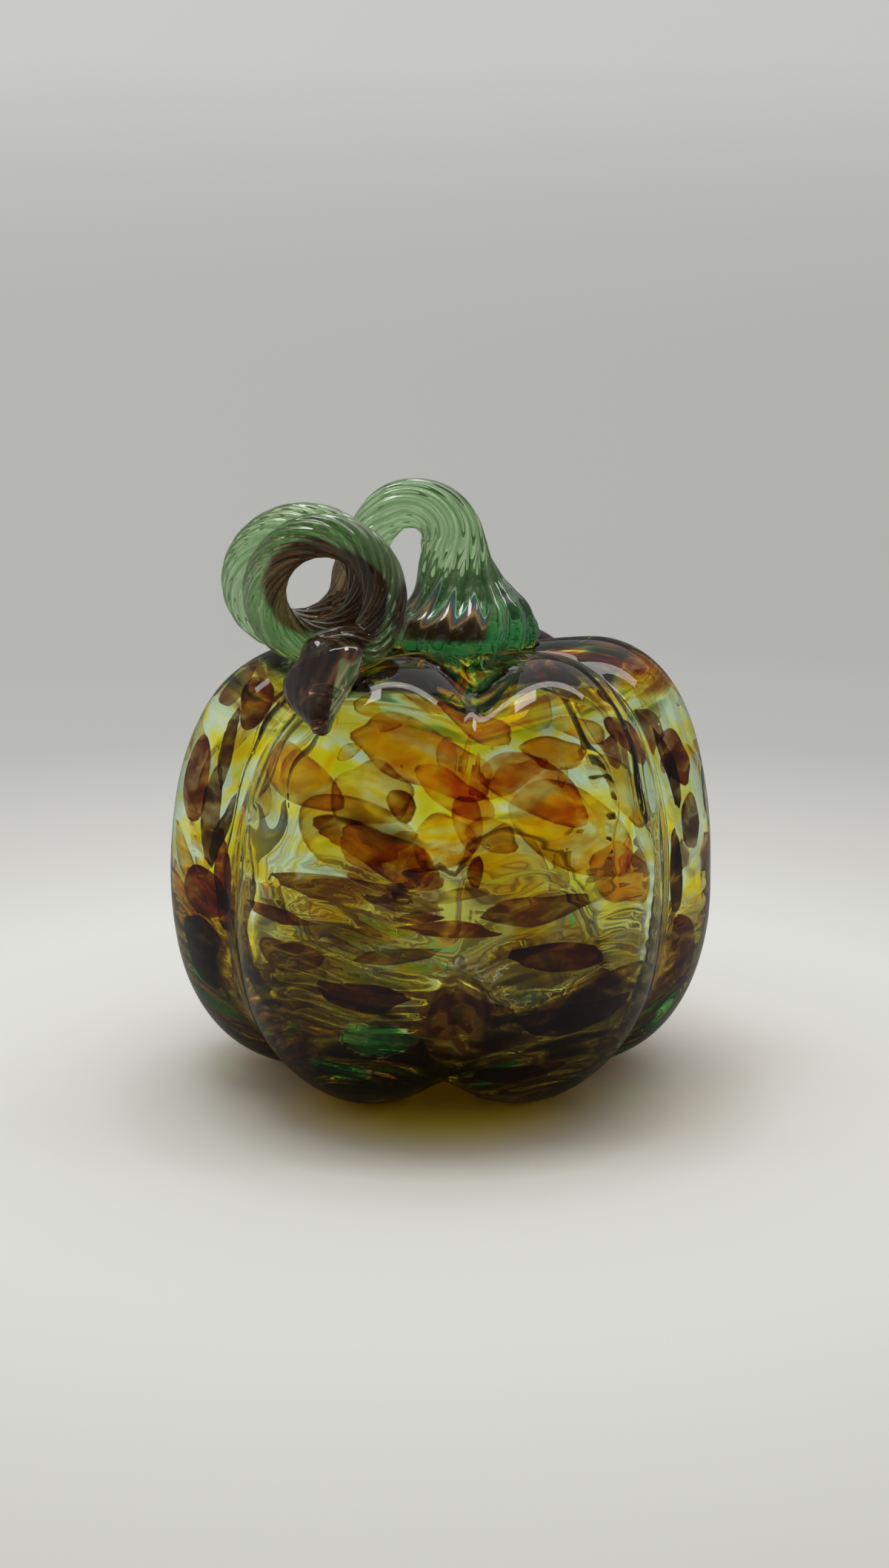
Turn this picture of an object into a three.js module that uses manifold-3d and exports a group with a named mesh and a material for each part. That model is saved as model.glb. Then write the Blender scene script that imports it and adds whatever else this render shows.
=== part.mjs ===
// A hand-blown glass pumpkin. The hollow six-lobed body is an inner bubble, colour chips that it was rolled
// in, and a clear casing over them. A solid fluted stem rises from a skirt on the crown, loops over, winds
// into a coil and ends in a flattened tip on the shoulder. Millimetres, +Z up. The origin is on the table
// under the middle of the body, and the front faces -Y.
import Module from "manifold-3d";
import * as THREE from "three";
import { mergeVertices } from "three/addons/utils/BufferGeometryUtils.js";

const wasm = await Module();
wasm.setup();

const degree = Math.PI / 180;
const fullTurn = 2 * Math.PI;

// Clearance between the stem and the body, and how deep the hot stem was pressed on where it was laid down.
const seatClearance = 0.3;
const seatPress = 0.5;

// Body: the ridge of a lobe, from the foot up to the crown.
const lobeCount = 6;
const footRadius = 31;
const footFlatDepth = 1;
const bellyRadius = 70;
const bellyHeight = 49;
const crestRadius = 34;
const crestHeight = 111.5;
const crownDip = 1.2;

// Body: how far the creases between the lobes lie inside and below the ridges.
const footArch = 4.5;
const footCreaseInset = 4;
const bellyCreaseDepth = 7.5;
const crestCreaseInset = 6;
const crestCreaseDrop = 7.5;
const rimCreaseDrop = 2.6;
const creaseSoftnessShare = 0.16;
const lobeFullnessShare = 0.9;

// Body: the pushed-up base with its pontil mark, and the opening that the blowpipe left under the stem.
const kickHeight = 17;
const pontilRadius = 7;
const pontilDent = 1.2;
const pontilBevel = 1.5;
const openingRadius = 9;

// Body: wall of the blown bubble with its casing, thick at the base and at the crown where it was gathered.
const baseWall = 7;
const bellyWall = 5;
const shoulderWall = 5.4;
const crownWall = 6.4;
const casingShare = 0.55;

// Colour chips, flat between the inner bubble and the casing.
const chipThickness = 0.5;
const chipClearance = 0.5;
const chipLength = 25;
const chipWidth = 12.5;
const chipSlant = 28 * degree;
const chipSides = 10;
const chipBevelShare = 0.6;

// Body: lean and twist that the crown picked up while the glass was soft.
const crownShift = 4.5;
const crownTwist = 7 * degree;

// Body: how far each stretch of the meridian runs straight before it bends, as a share of that stretch.
const kickBendShare = 0.42;
const footBendShare = 0.52;
const lowerSideBendShare = 0.73;
const upperSideBendShare = 0.64;
const crestBendShare = 0.66;
const dipBendShare = 0.42;

// Stem: the skirt on the crown and the riser above it.
const skirtOffset = 0.5;
const skirtRadius = 19.4;
const skirtLip = 2.4;
const skirtSag = 0.8;
const skirtBevelShare = 0.06;
const plugRadius = 7.4;
const plugLength = 3.5;
const riserHeight = 22.6;
const riserLean = 2;
const riserRadius = 8.2;

// Stem: the loop over the top of the riser.
const loopRadius = 11;
const loopTopRadius = 6.2;
const loopEndRadius = 5.6;
const loopYaw = 18 * degree;
const loopSweep = 150 * degree;

// Stem: the coil, with its middle where it starts, how it narrows, and its step to the next turn.
const coilX = -36.7;
const coilY = -12;
const coilStartWidthRadius = 15;
const coilEndWidthRadius = 13;
const coilHeightRadius = 13.7;
const coilCaneRadius = 5.2;
const coilTurns = 2.14;
const coilStep = new THREE.Vector3(5, -9.6, -1.8);

// Stem: the flattened tip, which hangs over the shoulder of the front left lobe.
const tipTurn = -40 * degree;
const tipSpread = 5 * degree;
const tipLevelShare = 2.64;
const tipHalfWidth = 11.4;
const tipHalfThickness = 4.2;
const tipEndRadius = 2.6;

// Stem: flutes from the optic mould, and how steeply they wind round the cane.
const fluteCount = 15;
const skirtFluteShare = 0.05;
const caneFluteShare = 0.045;
const tipFluteShare = 0.015;
const fluteSlopeShare = 0.4;

// How finely the skins are drawn: rows as shares of each stretch of the meridian, close round the flat feet.
const segmentsPerLobe = 10;
const baseRowShares = [0.25, 0.5, 0.72, 0.9, 1];
const lowerRowShares = [0.1, 0.24, 0.39, 0.54, 0.69, 0.84, 1];
const upperRowShares = [0.16, 0.31, 0.45, 0.59, 0.72, 0.86, 1];
const crownRowShares = [0.16, 0.34, 0.55, 0.78, 1];
const outerFaceStep = 1;
const chipFaceStep = 2;
const innerFaceStep = 3;
const stemRings = 78;
const sidesPerFlute = 2;
const loopStations = 6;
const coilStationsPerTurn = 14;
const endCapShares = [0.5, 0.87];
const girthTension = 0.5;

// How finely places are measured: the step for slopes, halvings of a search, and a grid of places to rest on.
const slopeStep = 1e-3;
const searchHalvings = 30;
const restReachShare = 0.7;
const restRowShare = 0.05;
const restColumns = 120;

// Colours of the glass.
const bubbleColour = 0xc9b43a;
const casingColour = 0xd8dcc8;
const stemColour = 0x4f8a58;
const chipColours = [0x6b2410, 0xb0560f, 0xc9710f, 0xa8380a, 0x2f7a3c, 0x2a1510];
const glassRoughness = 0.05;

const mix = (from, to, share) => from + (to - from) * share;
const clamp = THREE.MathUtils.clamp;

// How far a place round the body stands out: 0 at the bottom of a crease, 1 on the ridge of a lobe.
function lobeShare(turn) {
  const wave = Math.abs(Math.sin((lobeCount / 2) * turn));
  const soft = creaseSoftnessShare;
  const rounded = (Math.hypot(wave, soft) - soft) / (Math.hypot(1, soft) - soft);
  return rounded ** lobeFullnessShare;
}

// A stretch of meridian, in radius and height, that starts and ends level or upright.
function stretch(from, to, fromBend, toBend, fromUpright, toUpright) {
  const [r0, h0] = from;
  const [r1, h1] = to;
  const wide = r1 - r0;
  const tall = h1 - h0;
  return new THREE.CubicBezierCurve(
    new THREE.Vector2(r0, h0),
    new THREE.Vector2(r0 + (fromUpright ? 0 : wide * fromBend), h0 + (fromUpright ? tall * fromBend : 0)),
    new THREE.Vector2(r1 - (toUpright ? 0 : wide * toBend), h1 - (toUpright ? tall * toBend : 0)),
    new THREE.Vector2(r1, h1),
  );
}

// The four stretches of a meridian: base, lower side, upper side and crown.
function meridian(foot, belly, crest, rim) {
  return [
    stretch([pontilRadius, kickHeight], foot, kickBendShare, kickBendShare, false, false),
    stretch(foot, belly, footBendShare, lowerSideBendShare, false, true),
    stretch(belly, crest, upperSideBendShare, crestBendShare, true, false),
    stretch(crest, rim, dipBendShare, dipBendShare, false, false),
  ];
}

const rimHeight = crestHeight - crownDip;
const ridge = meridian(
  [footRadius, -footFlatDepth],
  [bellyRadius, bellyHeight],
  [crestRadius, crestHeight],
  [openingRadius, rimHeight],
);
const crease = meridian(
  [footRadius - footCreaseInset, footArch],
  [bellyRadius - bellyCreaseDepth, bellyHeight],
  [crestRadius - crestCreaseInset, crestHeight - crestCreaseDrop],
  [openingRadius, rimHeight - rimCreaseDrop],
);
const [footLevel, bellyLevel, crestLevel, openingLevel] = ridge.map((stretch, index) => index + 1);

// Radius and height of the outer skin. Level runs from 0 at the pontil through each stretch to the opening.
function profileAt(level, out) {
  const index = Math.min(Math.floor(level), crestLevel);
  const along = level - index;
  const low = crease[index].getPoint(along);
  const high = ridge[index].getPoint(along);
  return [mix(low.x, high.x, out), mix(low.y, high.y, out)];
}

// A point of the outer skin. Turn is measured from the front, to the right.
function skinPoint(level, turn) {
  const [radius, height] = profileAt(level, lobeShare(turn));
  const angle = turn + crownTwist * clamp((level - footLevel) / (crestLevel - footLevel), 0, 1);
  const lean = crownShift * clamp(level - bellyLevel, 0, 1) ** 2;
  return new THREE.Vector3(radius * Math.sin(angle) + lean, -radius * Math.cos(angle), Math.max(height, 0));
}

// The outward normal of the outer skin.
function skinNormal(level, turn) {
  const near = clamp(level, slopeStep, openingLevel - slopeStep);
  const up = skinPoint(near + slopeStep, turn).sub(skinPoint(near - slopeStep, turn));
  const round = skinPoint(near, turn + slopeStep).sub(skinPoint(near, turn - slopeStep));
  return round.cross(up).normalize();
}

// Thickness of the whole wall at a level, and the depths below the outer skin where its layers start and end.
function wallAt(level) {
  const walls = [baseWall, baseWall, bellyWall, shoulderWall, crownWall];
  const index = Math.min(Math.floor(level), walls.length - 2);
  return mix(walls[index], walls[index + 1], level - index);
}
const chipLayer = chipThickness + 2 * chipClearance;
const outerDepth = () => 0;
const casingDepth = (level) => casingShare * (wallAt(level) - chipLayer);
const bubbleDepth = (level) => casingDepth(level) + chipLayer;

// A point at a depth below the outer skin.
function pointBelow(level, turn, depth) {
  return skinPoint(level, turn).addScaledVector(skinNormal(level, turn), -depth);
}

// A closed skin from rings of equally many points, with a single point at each end.
function skinGeometry(start, rings, end) {
  const sides = rings[0].length;
  const points = [start, ...rings.flat(), end];
  const last = points.length - 1;
  const at = (ring, side) => 1 + ring * sides + (side % sides);
  const faces = [];
  for (let side = 0; side < sides; side += 1) {
    faces.push(0, at(0, side + 1), at(0, side));
    for (let ring = 0; ring < rings.length - 1; ring += 1) {
      const [a, b, c, d] = [at(ring, side), at(ring, side + 1), at(ring + 1, side + 1), at(ring + 1, side)];
      const acrossFirst = points[a].distanceTo(points[c]) <= points[b].distanceTo(points[d]);
      faces.push(...(acrossFirst ? [a, b, c, a, c, d] : [a, b, d, b, c, d]));
    }
    faces.push(last, at(rings.length - 1, side), at(rings.length - 1, side + 1));
  }
  const geometry = new THREE.BufferGeometry().setFromPoints(points);
  geometry.setIndex(faces);
  geometry.computeVertexNormals();
  return geometry;
}

// Levels of the rows of the body's skins, from the pontil to the opening.
const skinLevels = [0];
[baseRowShares, lowerRowShares, upperRowShares, crownRowShares].forEach((shares, index) => {
  shares.forEach((share) => skinLevels.push(index + share));
});
const lastRow = skinLevels.length - 1;
const everyRow = (step) => skinLevels.filter((level, row) => (lastRow - row) % step === 0 || row === 0);
const turnCount = lobeCount * segmentsPerLobe;
const turns = Array.from({ length: turnCount }, (_, segment) => (segment / turnCount) * fullTurn);

// A layer of the wall: a bowl closed at the base and open at the crown, between two depths.
function makeLayer(upperDepth, lowerDepth, outerStep, innerStep, growth) {
  const rowsAt = (levels, depthAt) =>
    levels.map((level) => turns.map((turn) => pointBelow(level, turn, depthAt(level))));
  const outer = rowsAt(everyRow(outerStep), (level) => upperDepth(level) - growth);
  const inner = rowsAt(everyRow(innerStep), (level) => lowerDepth(level) + growth).reverse();
  const outerMiddle = new THREE.Vector3(0, 0, kickHeight + pontilDent + upperDepth(0) - growth);
  const dentRing = outer[0].map((point) =>
    outerMiddle.clone().add(point.clone().setZ(0).multiplyScalar(1 - pontilBevel / pontilRadius)),
  );
  const innerMiddle = new THREE.Vector3(0, 0, kickHeight + pontilDent + lowerDepth(0) + growth);
  return skinGeometry(outerMiddle, [dentRing, ...outer, ...inner], innerMiddle);
}

// One colour chip: a lens on the skin between the two gathers, its long side slanted down to the right.
function makeChip({ level, turn, sizeShare, slant }) {
  const depth = casingDepth(level) + chipClearance + chipThickness / 2;
  const here = pointBelow(level, turn, depth);
  const perTurn = pointBelow(level, turn + slopeStep, depth).distanceTo(here) / slopeStep;
  const perLevel = pointBelow(level + slopeStep, turn, depth).distanceTo(here) / slopeStep;
  const place = (angle, share, side) => {
    const along = (Math.cos(angle) * share * sizeShare * chipLength) / 2;
    const across = (Math.sin(angle) * share * sizeShare * chipWidth) / 2;
    const right = along * Math.cos(slant) + across * Math.sin(slant);
    const up = across * Math.cos(slant) - along * Math.sin(slant);
    return facetPoint(level + up / perLevel, turn + right / perTurn, (at) => {
      return casingDepth(at) + chipLayer / 2 - (side * chipThickness) / 2;
    });
  };
  const ring = (share, side) =>
    Array.from({ length: chipSides }, (_, corner) => place((corner / chipSides) * fullTurn, share, side));
  const rings = [ring(chipBevelShare, -1), ring(1, 0), ring(chipBevelShare, 1)];
  return skinGeometry(place(0, 0, -1), rings, place(0, 0, 1));
}

// A point below the faceted skin that the layers are drawn with, so that a chip lies evenly between them.
function facetPoint(level, turn, depthAt) {
  const levels = everyRow(chipFaceStep);
  const row = clamp(levels.findLastIndex((rowLevel) => rowLevel <= level), 0, levels.length - 2);
  const [low, high] = [levels[row], levels[row + 1]];
  const up = (level - low) / (high - low);
  const segment = Math.floor((turn / fullTurn) * turnCount);
  const right = (turn / fullTurn) * turnCount - segment;
  const corner = (rowLevel, step) =>
    pointBelow(rowLevel, ((segment + step) / turnCount) * fullTurn, depthAt(rowLevel));
  const lower = corner(low, 0).lerp(corner(low, 1), right);
  return lower.lerp(corner(high, 0).lerp(corner(high, 1), right), up);
}

function glassPiece(name, geometry, color) {
  const material = new THREE.MeshStandardMaterial({ color, roughness: glassRoughness, metalness: 0 });
  const piece = new THREE.Mesh(geometry, material);
  piece.name = name;
  return piece;
}

// Where the chips of one lobe lie: level, place across the lobe from crease to crease, size and extra slant.
const chipPlaceShares = [
  [1.5, 0.42, 1, 0.5],
  [1.82, 0.6, 0.9, 0.2],
  [2.12, 0.37, 1.05, 1],
  [2.4, 0.62, 1.1, 1.2],
  [2.7, 0.38, 0.7, 1.5],
  [3.3, 0.5, 0.6, 0.4],
];

function makeChips() {
  const chips = [];
  for (let lobe = 0; lobe < lobeCount; lobe += 1)
    chipPlaceShares.forEach(([level, acrossShare, sizeShare, slantShare], index) => {
      const acrossOnLobe = lobe % 2 === 0 ? acrossShare : 1 - acrossShare;
      const turn = ((lobe + acrossOnLobe) / lobeCount) * fullTurn;
      const geometry = makeChip({ level, turn, sizeShare, slant: chipSlant * slantShare });
      const colour = chipColours[(lobe + index) % chipColours.length];
      chips.push(glassPiece(`colour_chip_${lobe + 1}_${index + 1}`, geometry, colour));
    });
  return chips;
}

// Height of the crown's ridges at a place.
function ridgeHeightAt(point) {
  const radius = Math.hypot(point.x - crownShift, point.y);
  let outside = 0;
  let inside = 1;
  for (let halving = 0; halving < searchHalvings; halving += 1) {
    const middle = (outside + inside) / 2;
    if (profileAt(crestLevel + middle, 1)[0] > radius) outside = middle;
    else inside = middle;
  }
  return profileAt(crestLevel + outside, 1)[1];
}

// Points of the crown and shoulders that the coil can come down on.
function restingPoints() {
  const points = [];
  for (let level = crestLevel - restReachShare; level <= openingLevel; level += restRowShare)
    for (let column = 0; column < restColumns; column += 1)
      points.push(skinPoint(level, (column / restColumns) * fullTurn));
  return points;
}

// How far a cane with this centreline has to move up to lie on the points.
function liftOnto(points, centreline, reach) {
  let lift = -Infinity;
  for (const centre of centreline)
    for (const point of points) {
      const beside = Math.hypot(centre.x - point.x, centre.y - point.y);
      if (beside < reach) lift = Math.max(lift, point.z + Math.sqrt(reach ** 2 - beside ** 2) - centre.z);
    }
  return lift;
}

// The coil's centreline with its middle at height 0, from its right side, clockwise seen from the front.
function coilPoints() {
  const steps = Math.round(coilTurns * coilStationsPerTurn);
  const points = [];
  for (let step = 0; step <= steps; step += 1) {
    const turned = step / coilStationsPerTurn;
    const angle = -turned * fullTurn;
    const widthRadius = mix(coilStartWidthRadius, coilEndWidthRadius, turned / coilTurns);
    points.push(
      new THREE.Vector3(coilX, coilY, 0)
        .addScaledVector(coilStep, turned)
        .add(new THREE.Vector3(widthRadius * Math.cos(angle), 0, coilHeightRadius * Math.sin(angle))),
    );
  }
  return points;
}

// Skirt and riser: shares of the riser's height, of the way from the skirt's radius to its own, and of
// its lean.
const riserShares = [
  [0, 0, 0],
  [0.14, 0.05, 0],
  [0.28, 0.2, 0],
  [0.42, 0.48, 0.15],
  [0.58, 0.74, 0.4],
  [0.79, 0.9, 0.75],
];

const tipEndWidthShare = tipEndRadius / tipHalfWidth;
const tipEndThickShare = tipEndRadius / tipHalfThickness;

// Neck and tip: places over the shoulder, with widths, thicknesses and heights as shares of the tip's sizes.
const tipShares = [
  { level: 2.84, turn: -0.25, width: 0.43, thick: 1.05, lift: 1.6 },
  { level: 2.775, turn: -0.4, width: 0.42, thick: 0.95, lift: 1.95 },
  { level: 2.755, turn: -0.15, width: 0.68, thick: 0.95, lift: 1.7 },
  { level: 2.73, turn: 0.05, width: 1, thick: 1.05, lift: 1.35 },
  { level: 2.667, turn: 0.45, width: 0.92, thick: 0.98, lift: 0.9 },
  { level: 2.59, turn: 0.95, width: 0.58, thick: 0.85, lift: 0.74 },
  { level: 2.53, turn: 1.35, width: tipEndWidthShare, thick: tipEndThickShare, lift: 0.64 },
];

// Centreline stations of the stem, each with its radius, its thickness share and the depth share of its
// flutes.
function stemStations() {
  const stations = [];
  const add = (point, radius, thickShare, fluteShare) =>
    stations.push({ point, radius, thickShare, fluteShare });
  const foot = new THREE.Vector3(crownShift + skirtOffset, 0, 0);
  foot.z = ridgeHeightAt(foot.clone().setX(foot.x + skirtRadius)) - skirtSag + skirtLip;
  for (const [heightShare, slimShare, leanShare] of riserShares) {
    const rise = new THREE.Vector3(-riserLean * leanShare, 0, riserHeight * heightShare);
    const fluteShare = mix(skirtFluteShare, caneFluteShare, heightShare);
    add(foot.clone().add(rise), mix(skirtRadius, riserRadius, slimShare), 1, fluteShare);
  }

  // Loop: an upright arc that leaves the riser's top and swings round towards the coil.
  const loopMiddle = foot.clone().add(new THREE.Vector3(-riserLean - loopRadius, 0, riserHeight));
  for (let step = 0; step <= loopStations; step += 1) {
    const share = step / loopStations;
    const angle = share * loopSweep;
    const left = loopRadius * (1 - Math.cos(angle));
    const offset = new THREE.Vector3(loopRadius - left * Math.cos(loopYaw), -left * Math.sin(loopYaw), 0);
    offset.z = loopRadius * Math.sin(angle);
    const rising = mix(riserRadius, loopTopRadius, share * 2);
    const falling = mix(loopTopRadius, loopEndRadius, share * 2 - 1);
    add(loopMiddle.clone().add(offset), share < 0.5 ? rising : falling, 1, caneFluteShare);
  }

  // Coil: wound as a helix, then let down until it lies on the crown.
  const coil = coilPoints();
  const coilReach = coilCaneRadius * (1 + caneFluteShare) + seatClearance - seatPress;
  const lift = liftOnto(restingPoints(), coil, coilReach);
  coil.forEach((point) => {
    point.z += lift;
    add(point, coilCaneRadius, 1, caneFluteShare);
  });

  for (const { level, turn, width, thick, lift } of tipShares) {
    const place = pointBelow(level, tipTurn + tipSpread * turn, -tipHalfThickness * lift);
    add(place, tipHalfWidth * width, (tipHalfThickness * thick) / (tipHalfWidth * width), tipFluteShare);
  }
  return stations;
}

// Rings of the stem along its centreline. Each ring's points stay on the flutes, which wind as the cane
// goes on.
function stemRingPoints(stations) {
  const sides = fluteCount * sidesPerFlute;
  const path = new THREE.CatmullRomCurve3(stations.map(({ point }) => point), false, "centripetal");
  const girth = new THREE.CatmullRomCurve3(
    stations.map(({ radius, thickShare, fluteShare }) => new THREE.Vector3(radius, thickShare, fluteShare)),
    false,
    "catmullrom",
    girthTension,
  );
  const steps = stemRings - 1;
  const length = path.getLength();
  const facing = skinNormal(tipLevelShare, tipTurn);
  const side = new THREE.Vector3(0, -1, 0);
  const rings = [];
  let wind = 0;
  for (let step = 0; step <= steps; step += 1) {
    const at = path.getUtoTmapping(step / steps);
    const centre = path.getPoint(at);
    const along = path.getTangent(at);
    const { x: radius, y: thickShare, z: fluteShare } = girth.getPoint(at);
    side.addScaledVector(along, -side.dot(along)).normalize();
    const across = new THREE.Vector3().crossVectors(along, side);
    const flat = facing.clone().addScaledVector(along, -facing.dot(along)).normalize();
    const ring = [];
    for (let corner = 0; corner < sides; corner += 1) {
      const angle = (corner / sides) * fullTurn;
      const reach = radius * (1 + fluteShare * Math.cos(fluteCount * angle));
      const offset = side
        .clone()
        .multiplyScalar(reach * Math.cos(angle + wind))
        .addScaledVector(across, reach * Math.sin(angle + wind));
      offset.addScaledVector(flat, (thickShare - 1) * offset.dot(flat));
      ring.push(offset.add(centre));
    }
    rings.push(ring);
    wind += (fluteSlopeShare * length) / steps / radius;
  }
  return rings;
}

const middleOf = (ring) =>
  ring.reduce((sum, point) => sum.add(point), new THREE.Vector3()).divideScalar(ring.length);

// A geometry as a solid for cutting, and back.
function solidOf(geometry) {
  const bare = geometry.clone();
  bare.deleteAttribute("normal");
  const merged = mergeVertices(bare);
  const vertProperties = new Float32Array(merged.attributes.position.array);
  const triVerts = new Uint32Array(merged.index.array);
  return new wasm.Manifold(new wasm.Mesh({ numProp: 3, vertProperties, triVerts }));
}

function geometryOf(solid) {
  const { vertProperties, triVerts } = solid.getMesh();
  const geometry = new THREE.BufferGeometry();
  geometry.setAttribute("position", new THREE.BufferAttribute(vertProperties, 3));
  geometry.setIndex(new THREE.BufferAttribute(triVerts, 1));
  geometry.computeVertexNormals();
  return geometry;
}

// The stem: its skin, with a plug into the opening and a rounded end, seated on the wall of the body.
function makeStem() {
  const rings = stemRingPoints(stemStations());
  const lipRing = rings[0];
  const lipMiddle = middleOf(lipRing);
  const crownMiddle = new THREE.Vector3(crownShift, 0, 0);
  const plugRing = (height) =>
    lipRing.map((point) =>
      point.clone().sub(lipMiddle).setZ(0).setLength(plugRadius).add(crownMiddle).setZ(height),
    );
  const plugFoot = rimHeight - rimCreaseDrop - plugLength;
  const underside = [plugRing(plugFoot), plugRing(rimHeight + 2 * seatClearance)];
  const soleHeight = lipMiddle.z - skirtLip;
  const soleRing = lipRing.map((point) => point.clone().lerp(lipMiddle, skirtBevelShare).setZ(soleHeight));

  const lastRing = rings[rings.length - 1];
  const lastMiddle = middleOf(lastRing);
  const onward = lastMiddle.clone().sub(middleOf(rings[rings.length - 2])).normalize();
  const cap = endCapShares.map((share) =>
    lastRing.map((point) =>
      point
        .clone()
        .sub(lastMiddle)
        .multiplyScalar(Math.sqrt(1 - share ** 2))
        .add(lastMiddle)
        .addScaledVector(onward, tipEndRadius * share),
    ),
  );
  const end = lastMiddle.clone().addScaledVector(onward, tipEndRadius);
  const plugMiddle = crownMiddle.clone().setZ(plugFoot);
  const skin = skinGeometry(plugMiddle, [...underside, soleRing, ...rings, ...cap], end);
  const wall = makeLayer(outerDepth, wallAt, outerFaceStep, chipFaceStep, seatClearance);
  return geometryOf(solidOf(skin).subtract(solidOf(wall)));
}

const pumpkin = new THREE.Group();
pumpkin.add(
  glassPiece("inner_bubble", makeLayer(bubbleDepth, wallAt, chipFaceStep, innerFaceStep, 0), bubbleColour),
  ...makeChips(),
  glassPiece("clear_casing", makeLayer(outerDepth, casingDepth, outerFaceStep, chipFaceStep, 0), casingColour),
  glassPiece("stem", makeStem(), stemColour),
);

export default pumpkin;
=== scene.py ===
# A hand-blown glass pumpkin: a six-lobed hollow body with colour chips under clear glass, and a fluted green
# stem that loops over, winds into a coil and ends in a flattened tip. Metres, +Z up, and the front faces -Y.
import functools
import math

import bpy
import numpy as np
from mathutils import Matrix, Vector
from mathutils.bvhtree import BVHTree


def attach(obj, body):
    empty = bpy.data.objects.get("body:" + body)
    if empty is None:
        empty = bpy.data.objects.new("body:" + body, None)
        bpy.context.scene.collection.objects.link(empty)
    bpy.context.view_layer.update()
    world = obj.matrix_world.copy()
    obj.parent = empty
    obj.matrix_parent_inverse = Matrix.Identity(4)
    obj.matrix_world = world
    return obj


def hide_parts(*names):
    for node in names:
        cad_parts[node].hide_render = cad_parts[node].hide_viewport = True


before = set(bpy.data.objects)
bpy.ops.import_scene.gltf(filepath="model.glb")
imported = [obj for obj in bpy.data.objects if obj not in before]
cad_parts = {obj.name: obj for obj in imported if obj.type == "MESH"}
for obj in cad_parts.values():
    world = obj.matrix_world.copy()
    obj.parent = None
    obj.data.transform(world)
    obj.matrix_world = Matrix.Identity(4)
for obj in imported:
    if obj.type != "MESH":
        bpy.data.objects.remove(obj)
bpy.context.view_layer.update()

MM = 0.001
DEGREE = math.pi / 180
TURN = 2 * math.pi

# Camera, at the photograph's height, distance and lens.
CAMERA_ASIDE = 0.7 * MM
CAMERA_AWAY = 572 * MM
CAMERA_HEIGHT = 188 * MM
CAMERA_PITCH = 11.3 * DEGREE
CAMERA_LENS = 52.0

# Body, in millimetres: the ridge of a lobe from the foot to the crown, and how far the creases lie inside it.
LOBES = 6
FOOT_RADIUS = 31.0
FOOT_FLAT_DEPTH = 1.0
BELLY_RADIUS = 70.0
BELLY_HEIGHT = 49.0
CREST_RADIUS = 34.0
CREST_HEIGHT = 111.5
CROWN_DIP = 1.2
LEVEL_BENDS = (0.42, 0.42)
LOWER_BENDS = (0.52, 0.73)
UPPER_BENDS = (0.64, 0.66)
FOOT_ARCH = 4.5
FOOT_CREASE_INSET = 4.0
BELLY_CREASE_DEPTH = 7.5
CREST_CREASE_INSET = 6.0
CREST_CREASE_DROP = 7.5
RIM_CREASE_DROP = 2.6
CREASE_SOFTNESS = 0.16
LOBE_FULLNESS = 0.9
KICK_HEIGHT = 17.0
PONTIL_RADIUS = 7.0
PONTIL_DENT = 1.2
PONTIL_BEVEL = 1.5
OPENING_RADIUS = 9.0
WALLS = np.array([3.4, 7.0, 5.0, 5.4, 6.4])
CROWN_SHIFT = 4.5
CROWN_TWIST = 7 * DEGREE
RIM_HEIGHT = CREST_HEIGHT - CROWN_DIP

# Stem, in millimetres: skirt, riser, loop, coil and tip.
SEAT_CLEARANCE = 0.3
SEAT_PRESS = 0.5
SEAT_REACH = 8.0
SKIRT_OFFSET = 0.5
SKIRT_RADIUS = 19.4
SKIRT_LIP = 2.4
SKIRT_SAG = 0.8
SKIRT_BEVEL = 0.06
PLUG_RADIUS = 7.4
PLUG_LENGTH = 3.5
PLUG_MIDDLE = np.array([CROWN_SHIFT, 0, 0])
PLUG_FOOT = RIM_HEIGHT - RIM_CREASE_DROP - PLUG_LENGTH
PLUG_TOP = RIM_HEIGHT + 2 * SEAT_CLEARANCE
RISER_HEIGHT = 22.6
RISER_LEAN = 2.0
RISER_RADIUS = 8.2
LOOP_RADIUS = 11.0
LOOP_TOP_RADIUS = 6.2
LOOP_END_RADIUS = 5.6
LOOP_YAW = 18 * DEGREE
LOOP_SWEEP = 150 * DEGREE
LOOP_STEPS = 6
COIL_MIDDLE = np.array([-36.7, -12.0, 0.0])
COIL_START_RADIUS = 15.0
COIL_END_RADIUS = 13.0
COIL_HEIGHT_RADIUS = 13.7
COIL_CANE_RADIUS = 5.2
COIL_TURNS = 2.14
COIL_STEPS_PER_TURN = 14
COIL_REACH_SHARE = 1.045
COIL_STEP = np.array([5.0, -9.6, -1.8])
TIP_TURN = -40 * DEGREE
TIP_SPREAD = 5 * DEGREE
TIP_LEVEL = 2.64
TIP_HALF_WIDTH = 11.4
TIP_HALF_THICKNESS = 4.2
TIP_END_RADIUS = 2.6
FLUTES = 15
SKIRT_FLUTE_SHARE = 0.04
CANE_FLUTE_SHARE = 0.03
TIP_FLUTE_SHARE = 0.006
FLUTE_SLOPE = 0.4


def linear(text, alpha=1.0):
    """An sRGB hex colour as the linear colour that shaders take."""
    channels = [int(text[i : i + 2], 16) / 255 for i in (0, 2, 4)]
    return tuple(c / 12.92 if c <= 0.04045 else ((c + 0.055) / 1.055) ** 2.4 for c in channels) + (alpha,)


def unit(vectors):
    return vectors / np.linalg.norm(vectors, axis=-1, keepdims=True)


def smooth(value):
    value = np.clip(value, 0, 1)
    return value * value * (3 - 2 * value)


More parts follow.
